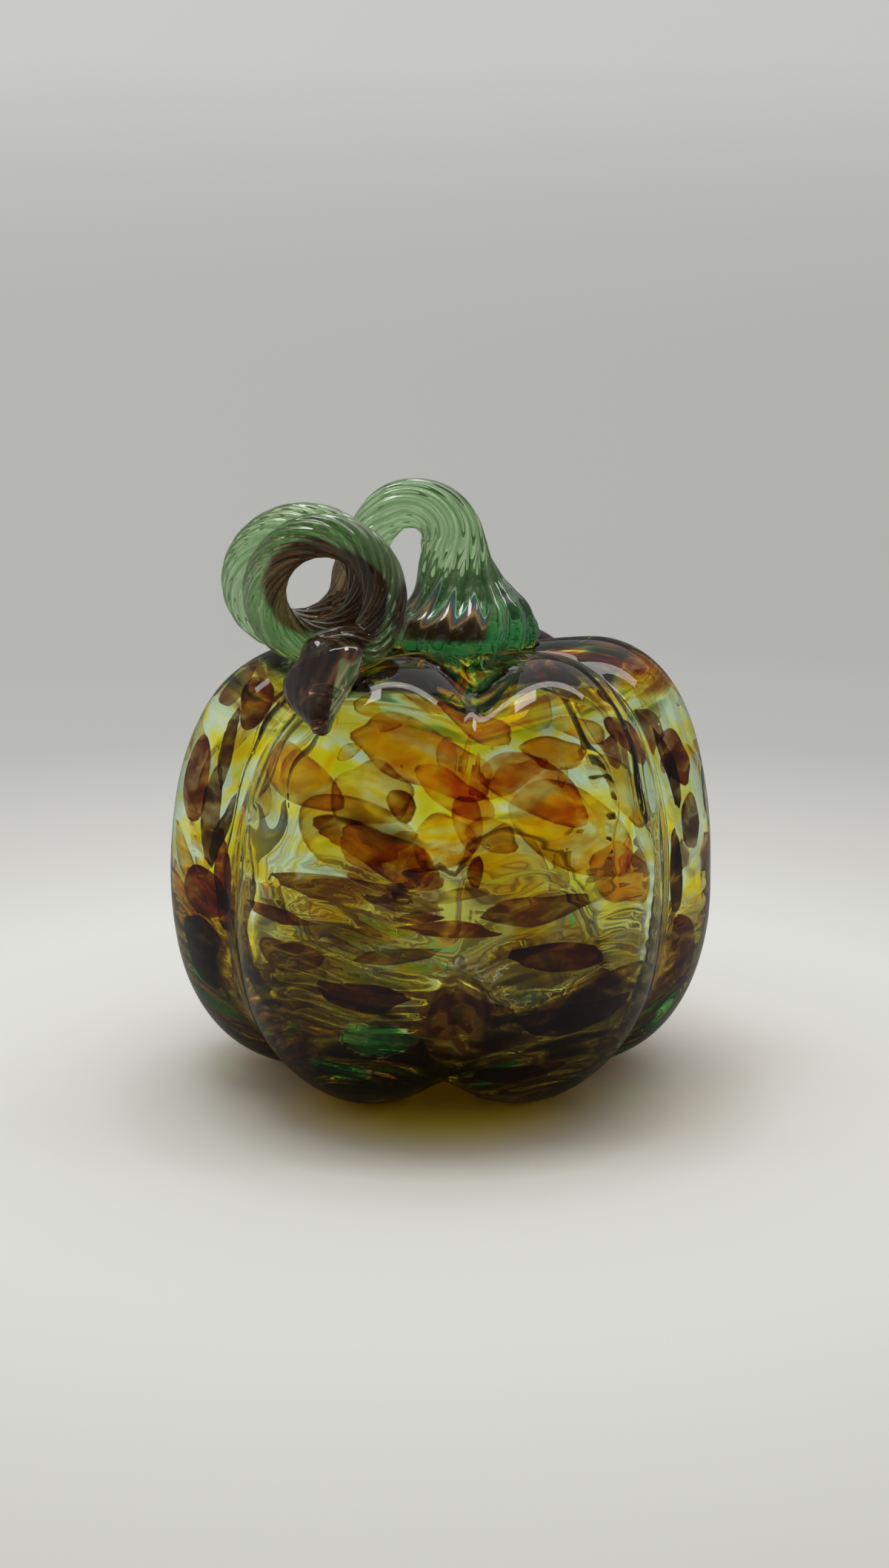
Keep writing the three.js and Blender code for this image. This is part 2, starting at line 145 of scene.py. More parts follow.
# The body's outer skin.
def stretch(start, end, bends, start_upright, end_upright):
    """Control points, in radius and height, of a stretch of meridian. It sets out and arrives level or
    upright, and keeps to that way for a share of its span: its bends."""
    start, end = np.array(start), np.array(end)
    span = end - start
    start_way = np.array([0, 1]) if start_upright else np.array([1, 0])
    end_way = np.array([0, 1]) if end_upright else np.array([1, 0])
    return np.array([start, start + span * bends[0] * start_way, end - span * bends[1] * end_way, end])


def meridian(foot, belly, crest, rim):
    """The four stretches of a meridian: base, lower side, upper side and crown."""
    return np.array([
        stretch((PONTIL_RADIUS, KICK_HEIGHT), foot, LEVEL_BENDS, False, False),
        stretch(foot, belly, LOWER_BENDS, False, True),
        stretch(belly, crest, UPPER_BENDS, True, False),
        stretch(crest, rim, LEVEL_BENDS, False, False),
    ])


RIDGE = meridian(
    (FOOT_RADIUS, -FOOT_FLAT_DEPTH),
    (BELLY_RADIUS, BELLY_HEIGHT),
    (CREST_RADIUS, CREST_HEIGHT),
    (OPENING_RADIUS, RIM_HEIGHT),
)
CREASE = meridian(
    (FOOT_RADIUS - FOOT_CREASE_INSET, FOOT_ARCH),
    (BELLY_RADIUS - BELLY_CREASE_DEPTH, BELLY_HEIGHT),
    (CREST_RADIUS - CREST_CREASE_INSET, CREST_HEIGHT - CREST_CREASE_DROP),
    (OPENING_RADIUS, RIM_HEIGHT - RIM_CREASE_DROP),
)
TOP_LEVEL = float(len(RIDGE))


def lobe_share(turn):
    """0 at the bottom of a crease, 1 on the ridge of a lobe."""
    wave, soft = np.abs(np.sin(LOBES / 2 * turn)), CREASE_SOFTNESS
    return ((np.hypot(wave, soft) - soft) / (math.hypot(1, soft) - soft)) ** LOBE_FULLNESS


def profile_at(level, out):
    """Radius and height of the skin. Level runs from 0 at the pontil to 4 at the opening."""
    index = np.clip(np.floor(level).astype(int), 0, len(RIDGE) - 1)
    t = (level - index)[..., None]
    weights = ((1 - t) ** 3, 3 * t * (1 - t) ** 2, 3 * t**2 * (1 - t), t**3)
    low = sum(w * CREASE[index, i] for i, w in enumerate(weights))
    high = sum(w * RIDGE[index, i] for i, w in enumerate(weights))
    return low + (high - low) * out[..., None]


def skin_points(level, turn):
    """Points of the outer skin. Turn is measured from the front, to the right."""
    level, turn = np.broadcast_arrays(np.asarray(level, float), np.asarray(turn, float))
    radius, height = np.moveaxis(profile_at(level, lobe_share(turn)), -1, 0)
    angle = turn + CROWN_TWIST * np.clip((level - 1) / 2, 0, 1)
    lean = CROWN_SHIFT * np.clip(level - 2, 0, 1) ** 2
    return np.stack([radius * np.sin(angle) + lean, -radius * np.cos(angle), np.maximum(height, 0)], -1)


def skin_normals(level, turn):
    small = 1e-3
    level = np.clip(level, small, TOP_LEVEL - small)
    up = skin_points(level + small, turn) - skin_points(level - small, turn)
    around = skin_points(level, turn + small) - skin_points(level, turn - small)
    return unit(np.cross(around, up))


def wall_at(level):
    return np.interp(level, range(len(WALLS)), WALLS)


def ripples(points, wavelength, seed, count=14):
    """Soft random waves through space, from about -1 to 1."""
    draw = np.random.default_rng(seed)
    ways = unit(draw.normal(size=(count, 3))) * (TURN / wavelength) * draw.uniform(0.6, 1.4, (count, 1))
    phases = draw.uniform(0, TURN, count)
    return np.sin(points @ ways.T + phases).sum(-1) / math.sqrt(count)


def ring_faces(rings, sides):
    """Faces of a closed skin: a first point, rings of as many points each, and a last point."""
    side = np.arange(sides)
    after = (side + 1) % sides
    first = 1 + np.arange(rings - 1)[:, None] * sides
    quads = np.stack([first + side, first + after, first + sides + after, first + sides + side], -1)
    last_ring = 1 + (rings - 1) * sides
    caps = [(0, 1 + b, 1 + a) for a, b in zip(side, after)]
    caps += [(last_ring + sides, last_ring + a, last_ring + b) for a, b in zip(side, after)]
    return quads.reshape(-1, 4).tolist(), [tuple(int(i) for i in cap) for cap in caps]


def new_piece(name, points, faces, *materials):
    """A smooth mesh object, at the origin, from points in millimetres."""
    mesh = bpy.data.meshes.new(name)
    mesh.from_pydata((points * MM).tolist(), [], faces)
    mesh.shade_smooth()
    for material in materials:
        mesh.materials.append(material)
    piece = bpy.data.objects.new(name, mesh)
    bpy.context.scene.collection.objects.link(piece)
    return piece


ATTRIBUTE_FIELDS = {"FLOAT": "value", "FLOAT_VECTOR": "vector", "FLOAT_COLOR": "color"}


def set_attribute(mesh, name, kind, values):
    """Gives each point of a mesh a value that materials read by its name."""
    data = mesh.attributes.new(name, kind, "POINT").data
    data.foreach_set(ATTRIBUTE_FIELDS[kind], values.astype(np.float32).ravel())


# Colour chips. What each kind of glass lets through in one wall.
GLASS = {
    "amber": "d8982c",
    "olive_amber": "d6a83c",
    "orange": "da8a22",
    "red_orange": "cc7226",
    "dark_amber": "a05e12",
    "brown": "8c5e1e",
    "oxblood": "7e3e20",
    "black": "352823",
    # The next kind is painted shade for the front creases, not a glass of the pumpkin.
    "deep_brown": "5c3c24",
    "green": "45b058",
    "pale_amber": "e6b64a",
}

# The chips that show in front: across and height of the middle, length, width, slant in degrees, and glass.
FRONT_CHIPS = [
    (-34, 86.5, 28, 13, 18, "amber"),
    (-15, 84, 20, 15, 12, "olive_amber"),
    (-9, 80.5, 8, 7, 40, "dark_amber"),
    (-6, 92, 36, 15, 28, "red_orange"),
    (2, 84, 20, 9, 35, "orange"),
    (-12, 70.5, 33, 10, 27, "dark_amber"),
    (-16, 71, 36, 18, 25, "olive_amber"),
    (-44, 80, 17, 13, 20, "olive_amber"),
    (0, 72.5, 15, 14, 30, "orange"),
    (-27, 62, 38, 6, 3, "brown"),
    (-19, 36, 24, 7, 8, "oxblood"),
    (-37, 45, 20, 8, 5, "brown"),
    (-16, 25, 18, 9, 5, "green"),
    (-25, 15, 16, 7, 8, "green"),
    (17, 14, 24, 6, -12, "oxblood"),
    (-48, 22, 16, 8, 40, "green"),
    (21, 84, 28, 13, 20, "red_orange"),
    (12, 73.5, 13, 8, 12, "amber"),
    (33, 73.5, 38, 17, 32, "amber"),
    (43, 63, 22, 14, 38, "orange"),
    (44, 81, 22, 11, 50, "olive_amber"),
    (27, 92, 16, 8, 12, "orange"),
    (45, 93, 18, 10, 35, "oxblood"),
    (10, 97, 20, 7, 15, "red_orange"),
    (33, 97, 13, 7, 20, "orange"),
    (7.5, 64.5, 8, 4, 90, "dark_amber"),
    (6, 77.5, 14, 7, 75, "red_orange"),
    (23.5, 56.5, 26, 7, -8, "brown"),
    (29, 45.5, 25, 7, 0, "oxblood"),
    (34, 30, 30, 8, -6, "oxblood"),
    (2, 52, 26, 4, 4, "dark_amber"),
    (-8, 59, 19, 4, 8, "brown"),
    (-5, 55, 15, 3, 2, "dark_amber"),
    (5, 60, 13, 3.5, -10, "olive_amber"),
    (-38, 54, 24, 4, 2, "dark_amber"),
    (-12, 46, 22, 4, -4, "brown"),
    (40, 38, 22, 5, -10, "brown"),
    (8, 31, 22, 6, 5, "dark_amber"),
    (-46.7, 99, 15, 10, 80, "oxblood"),
    (-61.4, 78, 22, 13, 85, "oxblood"),
    (-58, 52, 18, 13, 20, "oxblood"),
    (-60, 37, 20, 17, 60, "black"),
    (58.6, 84, 15, 11, 60, "oxblood"),
    # The narrow upright strips that follow, along the two front creases, are painted shade: dark glass laid
    # where the creases show dark.
    (-53, 88, 20, 5, 84, "deep_brown"),
    (-56.5, 72, 27, 7, 92, "deep_brown"),
    (-54, 55, 24, 7, 88, "oxblood"),
    (-50, 38, 24, 7, 80, "oxblood"),
    (57, 80, 20, 5, 80, "deep_brown"),
    (58.5, 55, 21, 6, 92, "deep_brown"),
    (54, 34, 16, 6, 96, "brown"),
    (63, 66.8, 14, 10, 80, "deep_brown"),
    (61, 37, 19, 12, 70, "oxblood"),
    (57.6, 17.6, 14, 12, 80, "green"),
]
CHIP_LAYERS = 5
NEAR_UPRIGHT = np.array([0, 0.001, 1.0])
SAME_SIDE = 0.2
EDGE_WAVES = (1, 2, 3, 5)
EDGE_SWELLS = (0.04, 0.18)
DARK_GLASS = ["oxblood", "black", "deep_brown", "dark_amber", "green"]
FRONT_DEPTHS = (0.5, 0.8)
LOOSE_DEPTHS = (0.4, 0.7)
DARK_DEPTH = 0.3

# The other chips are strewn, none on the filled front and few on the middle of the back.
LOOSE_CHIPS = 84
TRIES_FOR_A_CHIP = 12
LOOSE_LEVELS = (1.05, 3.75)
FILLED_LEVELS = (1.72, 2.62)
FILLED_TURNS = (-58 * DEGREE, 55 * DEGREE)
SPARSE_LEVELS = (1.4, 2.5)
SPARSE_SHARE = 0.6
STREWING_SEED = 5
EDGE_SEED = 11
SIDE_TURNS = (40 * DEGREE, 115 * DEGREE)
LOW_LEVEL = 1.8
HIGH_LEVEL = 2.6
CHIP_LENGTHS = (14, 31)
HIGH_CHIP_LENGTHS = (10, 18)
CHIP_WIDTH_SHARES = (0.36, 0.56)
CHIP_SLANTS = (15, 45)
LOW_GLASS = ["brown", "oxblood", "brown", "green", "dark_amber", "olive_amber"]
SIDE_GLASS = ["amber", "olive_amber", "orange", "oxblood", "black", "oxblood", "amber", "dark_amber"]
BACK_GLASS = [
    "amber", "olive_amber", "pale_amber", "orange", "pale_amber", "amber", "olive_amber", "red_orange",
]
HIGH_GLASS = ["oxblood", "black", "green", "brown", "dark_amber", "orange"]


def front_place(across, height):
    """Level and turn of the point of the front of the skin that is nearest to a place across and a height."""
    turns = np.linspace(-100, 100, 401) * DEGREE
    level, turn = np.meshgrid(np.linspace(1.1, 3, 400), turns, indexing="ij")
    points = skin_points(level, turn)
    behind = np.where(points[..., 1] > 5, 1e3, 0)
    miss = np.hypot(points[..., 0] - across, points[..., 2] - height) + behind
    nearest = np.unravel_index(miss.argmin(), miss.shape)
    return level[nearest], turn[nearest]


def room_for(level, turn, middles, sparse_back):
    """How far a place for a chip is from the nearest chip, or 0 where no chip should lie."""
    filled = FILLED_LEVELS[0] < level < FILLED_LEVELS[1] and FILLED_TURNS[0] < turn < FILLED_TURNS[1]
    sparse = SPARSE_LEVELS[0] < level < SPARSE_LEVELS[1] and abs(turn) > SIDE_TURNS[1]
    if filled or (sparse_back and sparse):
        return 0
    spot = skin_points(level, turn)
    return min(np.linalg.norm(spot - middle) for middle in middles)


def glass_for(draw, level, turn):
    """A kind of glass for a strewn chip. It is dark towards the foot and on the crown."""
    if level < LOW_LEVEL:
        kinds = LOW_GLASS
    elif level < HIGH_LEVEL:
        kinds = SIDE_GLASS if SIDE_TURNS[0] < abs(turn) < SIDE_TURNS[1] else BACK_GLASS
    else:
        kinds = HIGH_GLASS
    return kinds[int(draw.integers(len(kinds)))]


def place_chips():
    """Every chip as a level, turn, length, width, slant in radians, and glass."""
    chips = []
    for across, height, length, width, slant, glass in FRONT_CHIPS:
        chips.append((*front_place(across, height), length, width, slant * DEGREE, glass))
    middles = [skin_points(level, turn) for level, turn, *_ in chips]
    draw = np.random.default_rng(STREWING_SEED)
    for _ in range(LOOSE_CHIPS):
        tries = [
            (draw.uniform(*LOOSE_LEVELS), draw.uniform(-math.pi, math.pi)) for _ in range(TRIES_FOR_A_CHIP)
        ]
        sparse_back = draw.uniform() < SPARSE_SHARE
        room = [room_for(level, turn, middles, sparse_back) for level, turn in tries]
        level, turn = tries[int(np.argmax(room))]
        glass = glass_for(draw, level, turn)
        length = draw.uniform(*(CHIP_LENGTHS if level < HIGH_LEVEL else HIGH_CHIP_LENGTHS))
        width = length * draw.uniform(*CHIP_WIDTH_SHARES)
        chips.append((level, turn, length, width, draw.uniform(*CHIP_SLANTS) * DEGREE, glass))
        middles.append(skin_points(level, turn))
    return chips


def wavy_reach(draw, angle):
    """How far a chip's wavy edge reaches at each angle, where 1 is a plain oval."""
    reach = np.ones_like(angle)
    for wave in EDGE_WAVES:
        swell = draw.uniform(*EDGE_SWELLS) / math.sqrt(wave)
        reach += swell * np.cos(wave * angle + draw.uniform(0, TURN))
    return reach


def free_layer(taken, middle, length):
    """The first layer in which a chip has room, or else the one with the most."""
    room = [
        min((np.linalg.norm(middle - m) - (length + l) / 2 for m, l in others), default=9) for others in taken
    ]
    return next((i for i, space in enumerate(room) if space > 0), int(np.argmax(room)))


def chip_fields(points, normals):
    """For each layer of chips: how far inside a chip's edge each point is, and the tint of that chip."""
    draw = np.random.default_rng(EDGE_SEED)
    edges = np.full((CHIP_LAYERS, len(points)), -9.0)
    tints = np.ones((CHIP_LAYERS, len(points), 4))
    taken = [[] for _ in range(CHIP_LAYERS)]
    for number, (level, turn, length, width, slant, glass) in enumerate(place_chips()):
        middle = skin_points(level, turn)
        out = skin_normals(level, turn)
        right = unit(np.cross(NEAR_UPRIGHT, out))
        up = np.cross(out, right)
        along = right * math.cos(slant) - up * math.sin(slant)
        across = np.cross(out, along)
        near = (np.linalg.norm(points - middle, axis=1) < length) & (normals @ out > SAME_SIDE)
        offset = points[near] - middle
        x, y = offset @ along / (length / 2), offset @ across / (width / 2)
        reach = wavy_reach(draw, np.arctan2(y, x))
        share = np.hypot(x, y)
        distance = np.hypot(x * length / 2, y * width / 2)
        inside = (reach - share) * distance / np.maximum(share, 0.05)
        inside = np.minimum(inside, (reach - share) * width / 2 + 0.5)
        depth = draw.uniform(*(FRONT_DEPTHS if number < len(FRONT_CHIPS) else LOOSE_DEPTHS))
        depth += DARK_DEPTH if glass in DARK_GLASS else 0
        layer = free_layer(taken, middle, length)
        taken[layer].append((middle, length))
        closer = inside > edges[layer][near]
        where = np.flatnonzero(near)[closer]
        edges[layer][where] = inside[closer]
        tints[layer][where] = np.array(linear(GLASS[glass])) ** depth
    return edges, tints


# Materials. A pattern's size is in metres where it is given with MM, and otherwise in millimetres. Its colours
# are stops of a place and an sRGB colour.
WASH_SIZE = 34 * MM
LEMON_AND_AQUA = (
    (0.31, "f6dc14"), (0.38, "fcf02c"), (0.43, "fcf68c"), (0.47, "f4fce6"), (0.56, "e8f8ec"),
    (0.61, "fbf68c"), (0.68, "f8e41c"),
)
FOOT_STREAK_LENGTH = 34 * MM
FOOT_STREAK_FLATNESS = 5
FOOT_WANDER = 44 * MM
FOOT_HEIGHTS = (46 * MM, 70 * MM)
# Heights over which the painted shade lowest on the foot fades out.
PAINTED_FOOT_SHADE_HEIGHTS = (26 * MM, 50 * MM)
OLIVE_AND_BROWN = (
    (0.34, "56380e"), (0.42, "94842c"), (0.47, "d2c860"), (0.51, "a49630"), (0.56, "74480e"),
    (0.61, "b08c2c"), (0.68, "3f9a50"),
)
BASE_LEVELS = (0.4, 0.75)
BASE_SEED_SPACING = 4.2 * MM
STREAK_WIDTH_AT_BELLY = 10.0
CROWN_STREAKS_PER_LEVEL = 0.9
CROWN_LEVELS = (2.66, 2.86)
CROWN_STREAKS = (
    (0.33, "704228"), (0.41, "9c5430"), (0.45, "dc5a24"), (0.49, "f6e468"), (0.53, "f0f0b0"),
    (0.56, "64bc74"), (0.61, "a0643a"), (0.69, "54382a"),
)
SHOULDER_LINE_LENGTH = 43.75
SHOULDER_LINES_PER_LEVEL = 13
SHOULDER_START = (2.50, 2.62)
SHOULDER_END = (2.84, 2.92)
SHOULDER_LINES = (
    (0.34, "7c5a2c"), (0.42, "74b45c"), (0.47, "f4f08c"), (0.52, "fffff4"), (0.57, "f0d848"),
    (0.64, "b07438"),
)
# A band round the crown: partly the glass's streaks, partly painted shade.
BAND_WANDER = 0.3
BAND_START = (2.90, 2.97)
BAND_END = (3.08, 3.2)
BAND_STREAKS_AND_SHADE = ((0.36, "3a1e16"), (0.45, "8c3a20"), (0.50, "b0642c"), (0.55, "4a7048"), (0.62, "54303a"))
CHIP_CLOUD_SIZE = 9 * MM
MOTTLE_SIZE = 5 * MM
CANE_LINE_WIDTH = 1.3
CANE_LINE_LENGTH = 55.56
GREEN_LINES = ((0.34, "78b068"), (0.44, "a4d090"), (0.52, "cce8b8"), (0.59, "94c682"), (0.68, "78b06a"))
BROWN_LINES = ((0.35, "241006"), (0.5, "56301c"), (0.65, "82563a"))
# Painted sheen of the lustre: gold, purple and blue, pale at the top.
PAINTED_LUSTRE_SHEEN = (
    (0.0, "2c1608"), (0.16, "4a2c18"), (0.28, "b48a48"), (0.38, "8a5a52"), (0.50, "5c5078"), (0.60, "4a6c60"),
    (0.70, "4a7c58"), (0.76, "dce6d4"),
)

# Settings that many nodes share.
MIXED = {"data_type": "RGBA"}
TINTED = {"data_type": "RGBA", "blend_type": "MULTIPLY"}
EASED = {"interpolation_type": "SMOOTHSTEP"}


def new_material(name):
    """A new material, and the function that adds a node to it."""
    material = bpy.data.materials.new(name)
    material.use_nodes = True
    tree = material.node_tree
    tree.nodes.clear()
    return material, functools.partial(add_node, tree)


def add_node(tree, kind, *inputs, named=None, stops=(), **settings):
    """Adds a node with its settings, links and colour stops. A shader node's kind leaves out that prefix.
    Inputs come in the node's own order, or are named, and each is a value, a hex colour, a socket, or a node
    that stands for its first output."""
    node = tree.nodes.new(kind if "Node" in kind else "ShaderNode" + kind)
    for name, value in settings.items():
        setattr(node, name, value)
    in_use = [socket for socket in node.inputs if socket.enabled]
    given = list(zip(in_use, inputs)) + [(node.inputs[name], value) for name, value in (named or {}).items()]
    for socket, value in given:
        if isinstance(value, bpy.types.Node):
            value = next(output for output in value.outputs if output.enabled)
        if isinstance(value, bpy.types.NodeSocket):
            tree.links.new(value, socket)
        else:
            socket.default_value = linear(value) if isinstance(value, str) else value
    for number, (place, colour) in enumerate(stops):
        elements = node.color_ramp.elements
        stop = elements[number] if number < 2 else elements.new(place)
        stop.position = place
        stop.color = linear(colour)
    return node


def reflected(add, rays):
    """1 for a ray that a glossy surface reflects. Cycles counts refracted rays as glossy too."""
    not_through = add("Math", 1.0, rays["Is Transmission Ray"], operation="SUBTRACT")
    return add("Math", rays["Is Glossy Ray"], not_through, operation="MULTIPLY")


def band(add, value, start, end, most=1.0):
    """A share that rises as the value passes the start and falls again as it passes the end."""
    rise = add("MapRange", value, *start, 0.0, most, **EASED)
    fall = add("MapRange", value, *end, 0.0, most, **EASED)
    return add("Math", rise, fall, operation="SUBTRACT")


def glass_with_soft_shadow(add, glass, shadow_tint):
    """Glass whose shadow is its own colour: lamps shine through it."""
    clear = add("BsdfTransparent", shadow_tint)
    shadow_ray = add("LightPath").outputs["Is Shadow Ray"]
    either = add("MixShader", shadow_ray, glass, clear)
    add("OutputMaterial", either)


def foot_streaks_and_painted_shade(add, tint):
    """Towards the foot, olive and brown streaks that arch over each lobe: partly the glass's colour and
    partly painted shade, with more painted shade lowest down.
    """
    arched = add("Attribute", attribute_name="arched_place").outputs["Vector"]
    height = add("SeparateXYZ", arched).outputs["Z"]
    green_here = add("Attribute", attribute_name="green_glass").outputs["Fac"]
    flattened = add("Mapping", arched, named={"Scale": (1, 1, FOOT_STREAK_FLATNESS)})
    streaks = add("TexNoise", flattened, named={
        "Scale": 1 / FOOT_STREAK_LENGTH, "Detail": 1.6, "Roughness": 0.5, "Distortion": 0.7,
    })
    streak_tint = add("ValToRGB", streaks, stops=OLIVE_AND_BROWN)
    wander = add("Math", streaks, FOOT_WANDER, operation="MULTIPLY")
    wandering = add("Math", height, wander, operation="ADD")
    low = add("MapRange", wandering, *FOOT_HEIGHTS, 1.0, 0.0, **EASED)
    not_green = add("MapRange", green_here, 0.0, 1.0, 1.0, 0.2)
    low = add("Math", low, not_green, operation="MULTIPLY")
    tint = add("Mix", low, tint, streak_tint, **MIXED)
    # Painted shade: lowest down the glass is darkened further.
    painted_foot_shade = add("MapRange", wandering, *PAINTED_FOOT_SHADE_HEIGHTS, 1.0, 0.0, **EASED)
    not_green = add("MapRange", green_here, 0.0, 1.0, 1.0, 0.0)
    painted_foot_shade = add("Math", painted_foot_shade, not_green, operation="MULTIPLY")
    return add("Mix", painted_foot_shade, tint, "b29c60", **TINTED)


def seed_base(add, tint, place, level):
    """The pushed-up base is amber with dark seeds."""
    seeds = add("TexVoronoi", place, 1 / BASE_SEED_SPACING, feature="F1")
    between = add("MapRange", seeds, 0.2, 0.34, **EASED)
    seeded = add("Mix", between, "4a2c06", "b48424", **MIXED)
    base = add("MapRange", level, *BASE_LEVELS, 1.0, 0.0, **EASED)
    return add("Mix", base, tint, seeded, **MIXED)


def draw_out_crown(add, tint, skin, level, wash):
    """On the crown the colours were drawn out into streaks that run to the stem, with a dark band round them:
    streaked with the glass's red and green, and darkened with painted shade where one looks through the thick
    shoulder. Under it they run round in fine lines that follow the lobes."""
    around = BELLY_RADIUS / STREAK_WIDTH_AT_BELLY
    drawn_up = add("Mapping", skin, named={"Scale": (around, around, CROWN_STREAKS_PER_LEVEL)})
    streaks = add("TexNoise", drawn_up, named={"Scale": 1.0, "Detail": 2.5, "Distortion": 0.3})
    streak_tint = add("ValToRGB", streaks, stops=CROWN_STREAKS)
    crown = add("MapRange", level, *CROWN_LEVELS, **EASED)
    tint = add("Mix", crown, tint, streak_tint, **TINTED)

    around = BELLY_RADIUS / SHOULDER_LINE_LENGTH
    drawn_round = add("Mapping", skin, named={"Scale": (around, around, SHOULDER_LINES_PER_LEVEL)})
    lines = add("TexNoise", drawn_round, named={"Scale": 1.0, "Detail": 2.0, "Distortion": 0.6})
    line_tint = add("ValToRGB", lines, stops=SHOULDER_LINES)
    shoulder = band(add, level, SHOULDER_START, SHOULDER_END, 0.85)
    tint = add("Mix", shoulder, tint, line_tint, **TINTED)

    # Painted shade: a dark band round the crown, streaked with the glass's colours.
    wander = add("Math", wash, BAND_WANDER, operation="MULTIPLY")
    wandering = add("Math", level, wander, operation="ADD")
    band_with_painted_shade = band(add, wandering, BAND_START, BAND_END, 0.75)
    band_streaks_and_shade = add("ValToRGB", streaks, stops=BAND_STREAKS_AND_SHADE)
    return add("Mix", band_with_painted_shade, tint, band_streaks_and_shade, **TINTED)


def lay_chips(add, tint, slanted):
    """The layers of chips, each chip cloudy and with a broken darker outline."""
    cloud = add("TexNoise", slanted, named={
        "Scale": 1 / CHIP_CLOUD_SIZE, "Detail": 2.0, "Distortion": 0.5,
    })
    depth = add("MapRange", cloud, 0.3, 0.7, 0.4, 1.3, **EASED)
    broken = add("MapRange", cloud, 0.42, 0.6, 0.08, 0.75, **EASED)
    for layer in range(CHIP_LAYERS):
        edge = add("Attribute", attribute_name=f"chip_edge_{layer}").outputs["Fac"]
        chip = add("Attribute", attribute_name=f"chip_tint_{layer}").outputs["Color"]
        inside = add("MapRange", edge, 0.0, 0.35, **EASED)
        outline = band(add, edge, (0.0, 0.35), (0.4, 1.6))
        outline = add("Math", outline, broken, operation="MULTIPLY")
        cloudy = add("Gamma", chip, depth)
        outlined = add("Mix", outline, cloudy, "a48a74", **TINTED)
        tint = add("Mix", inside, tint, outlined, **TINTED)
    return tint


def paint_base_view_in_creases(add, tint, place):
    """A painted view of the pushed-up base as the wall shows it: low in each crease at the front, a mottled
    amber oval with a darker rim.
    """
    painted_base_view = add("Attribute", attribute_name="painted_base_view").outputs["Fac"]
    rim = band(add, painted_base_view, (0.0, 0.2), (0.12, 0.4))
    mottle = add("TexNoise", place, named={"Scale": 1 / MOTTLE_SIZE, "Detail": 1.0})
    pale = add("MapRange", mottle, 0.42, 0.52, **EASED)
    mottled = add("Mix", pale, "986428", "f4e07c", **MIXED)
    mottled = add("Mix", rim, mottled, "8c6e36", **TINTED)
    share = add("MapRange", painted_base_view, 0.0, 0.2, 0.0, 0.9, **EASED)
    return add("Mix", share, tint, mottled, **MIXED)


def cased_colour_glass():
    """Blown soda-lime glass with shards of colour glass under a clear casing. The eye gets clean overlapping
    ovals with a darker outline, on a wash of lemon and aqua that darkens to olive and brown at the foot.
    Painted shade darkens the foot, a band on the shoulder and strips along the front creases, and a painted
    view of the pushed-up base lies low in the front creases."""
    material, add = new_material("cased_colour_glass")
    place = add("TexCoord").outputs["Object"]
    skin = add("Attribute", attribute_name="skin_place").outputs["Vector"]
    level = add("SeparateXYZ", skin).outputs["Z"]
    slanted = add("Mapping", place, named={"Rotation": (0.3, 0.45, 0.2), "Scale": (1, 1, 1.9)})
    wash = add("TexNoise", slanted, named={
        "Scale": 1 / WASH_SIZE, "Detail": 2.5, "Roughness": 0.5, "Distortion": 0.7,
    })
    tint = add("ValToRGB", wash, stops=LEMON_AND_AQUA)
    tint = foot_streaks_and_painted_shade(add, tint)
    tint = seed_base(add, tint, place, level)
    tint = draw_out_crown(add, tint, skin, level, wash)
    tint = lay_chips(add, tint, slanted)
    tint = paint_base_view_in_creases(add, tint, place)
    both_ways = add("Mix", 1.0, tint, tint, **TINTED)
    glass = add("BsdfPrincipled", both_ways, named={
        "Roughness": 0.0, "IOR": 1.5, "Transmission Weight": 1.0,
    })
    glass_with_soft_shadow(add, glass, add("Mix", 0.45, tint, "dcb828", **MIXED))
    return material


def clear_bubble_glass():
    """The inner face of the blown bubble: clear, fire-polished soda-lime glass."""
    material, add = new_material("clear_bubble_glass")
    glass = add("BsdfPrincipled", "fbfdf8", named={
        "Roughness": 0.0, "IOR": 1.5, "Transmission Weight": 1.0,
    })
    glass_with_soft_shadow(add, glass, "ffffff")
    return material


def cane_colour(add, lines, sides):
    """Green with a ragged brown side, as the near side shows it with painted shade in the flutes' grooves, and
    the same as the far side shows it.
    """
    green = add("ValToRGB", lines, stops=GREEN_LINES)
    green = add("Mix", sides["deep_side"], green, "247c3c", **MIXED)
    brown = add("ValToRGB", lines, stops=BROWN_LINES)
    dull = add("Math", sides["tip_side"], 0.6, operation="MULTIPLY")
    brown = add("Mix", dull, brown, "38281a", **MIXED)
    ragged = add("Math", lines, 0.8, operation="MULTIPLY")
    ragged = add("Math", sides["brown_side"], ragged, operation="ADD")
    brown_share = add("MapRange", ragged, 0.6, 1.2, **EASED)
    near = add("Mix", brown_share, green, brown, **MIXED)
    # Painted shade: the near side is darker in the flutes' grooves.
    painted_groove_shade = add("MapRange", sides["flute"], -1.0, 0.2, 0.5, 0.0, **EASED)
    near = add("Mix", painted_groove_shade, near, "93ac8c", **TINTED)
    far = add("Mix", sides["deep_side"], "cfe6c0", "4a9c5c", **MIXED)
    far = add("Mix", sides["brown_side"], far, "845a40", **MIXED)
    return near, far


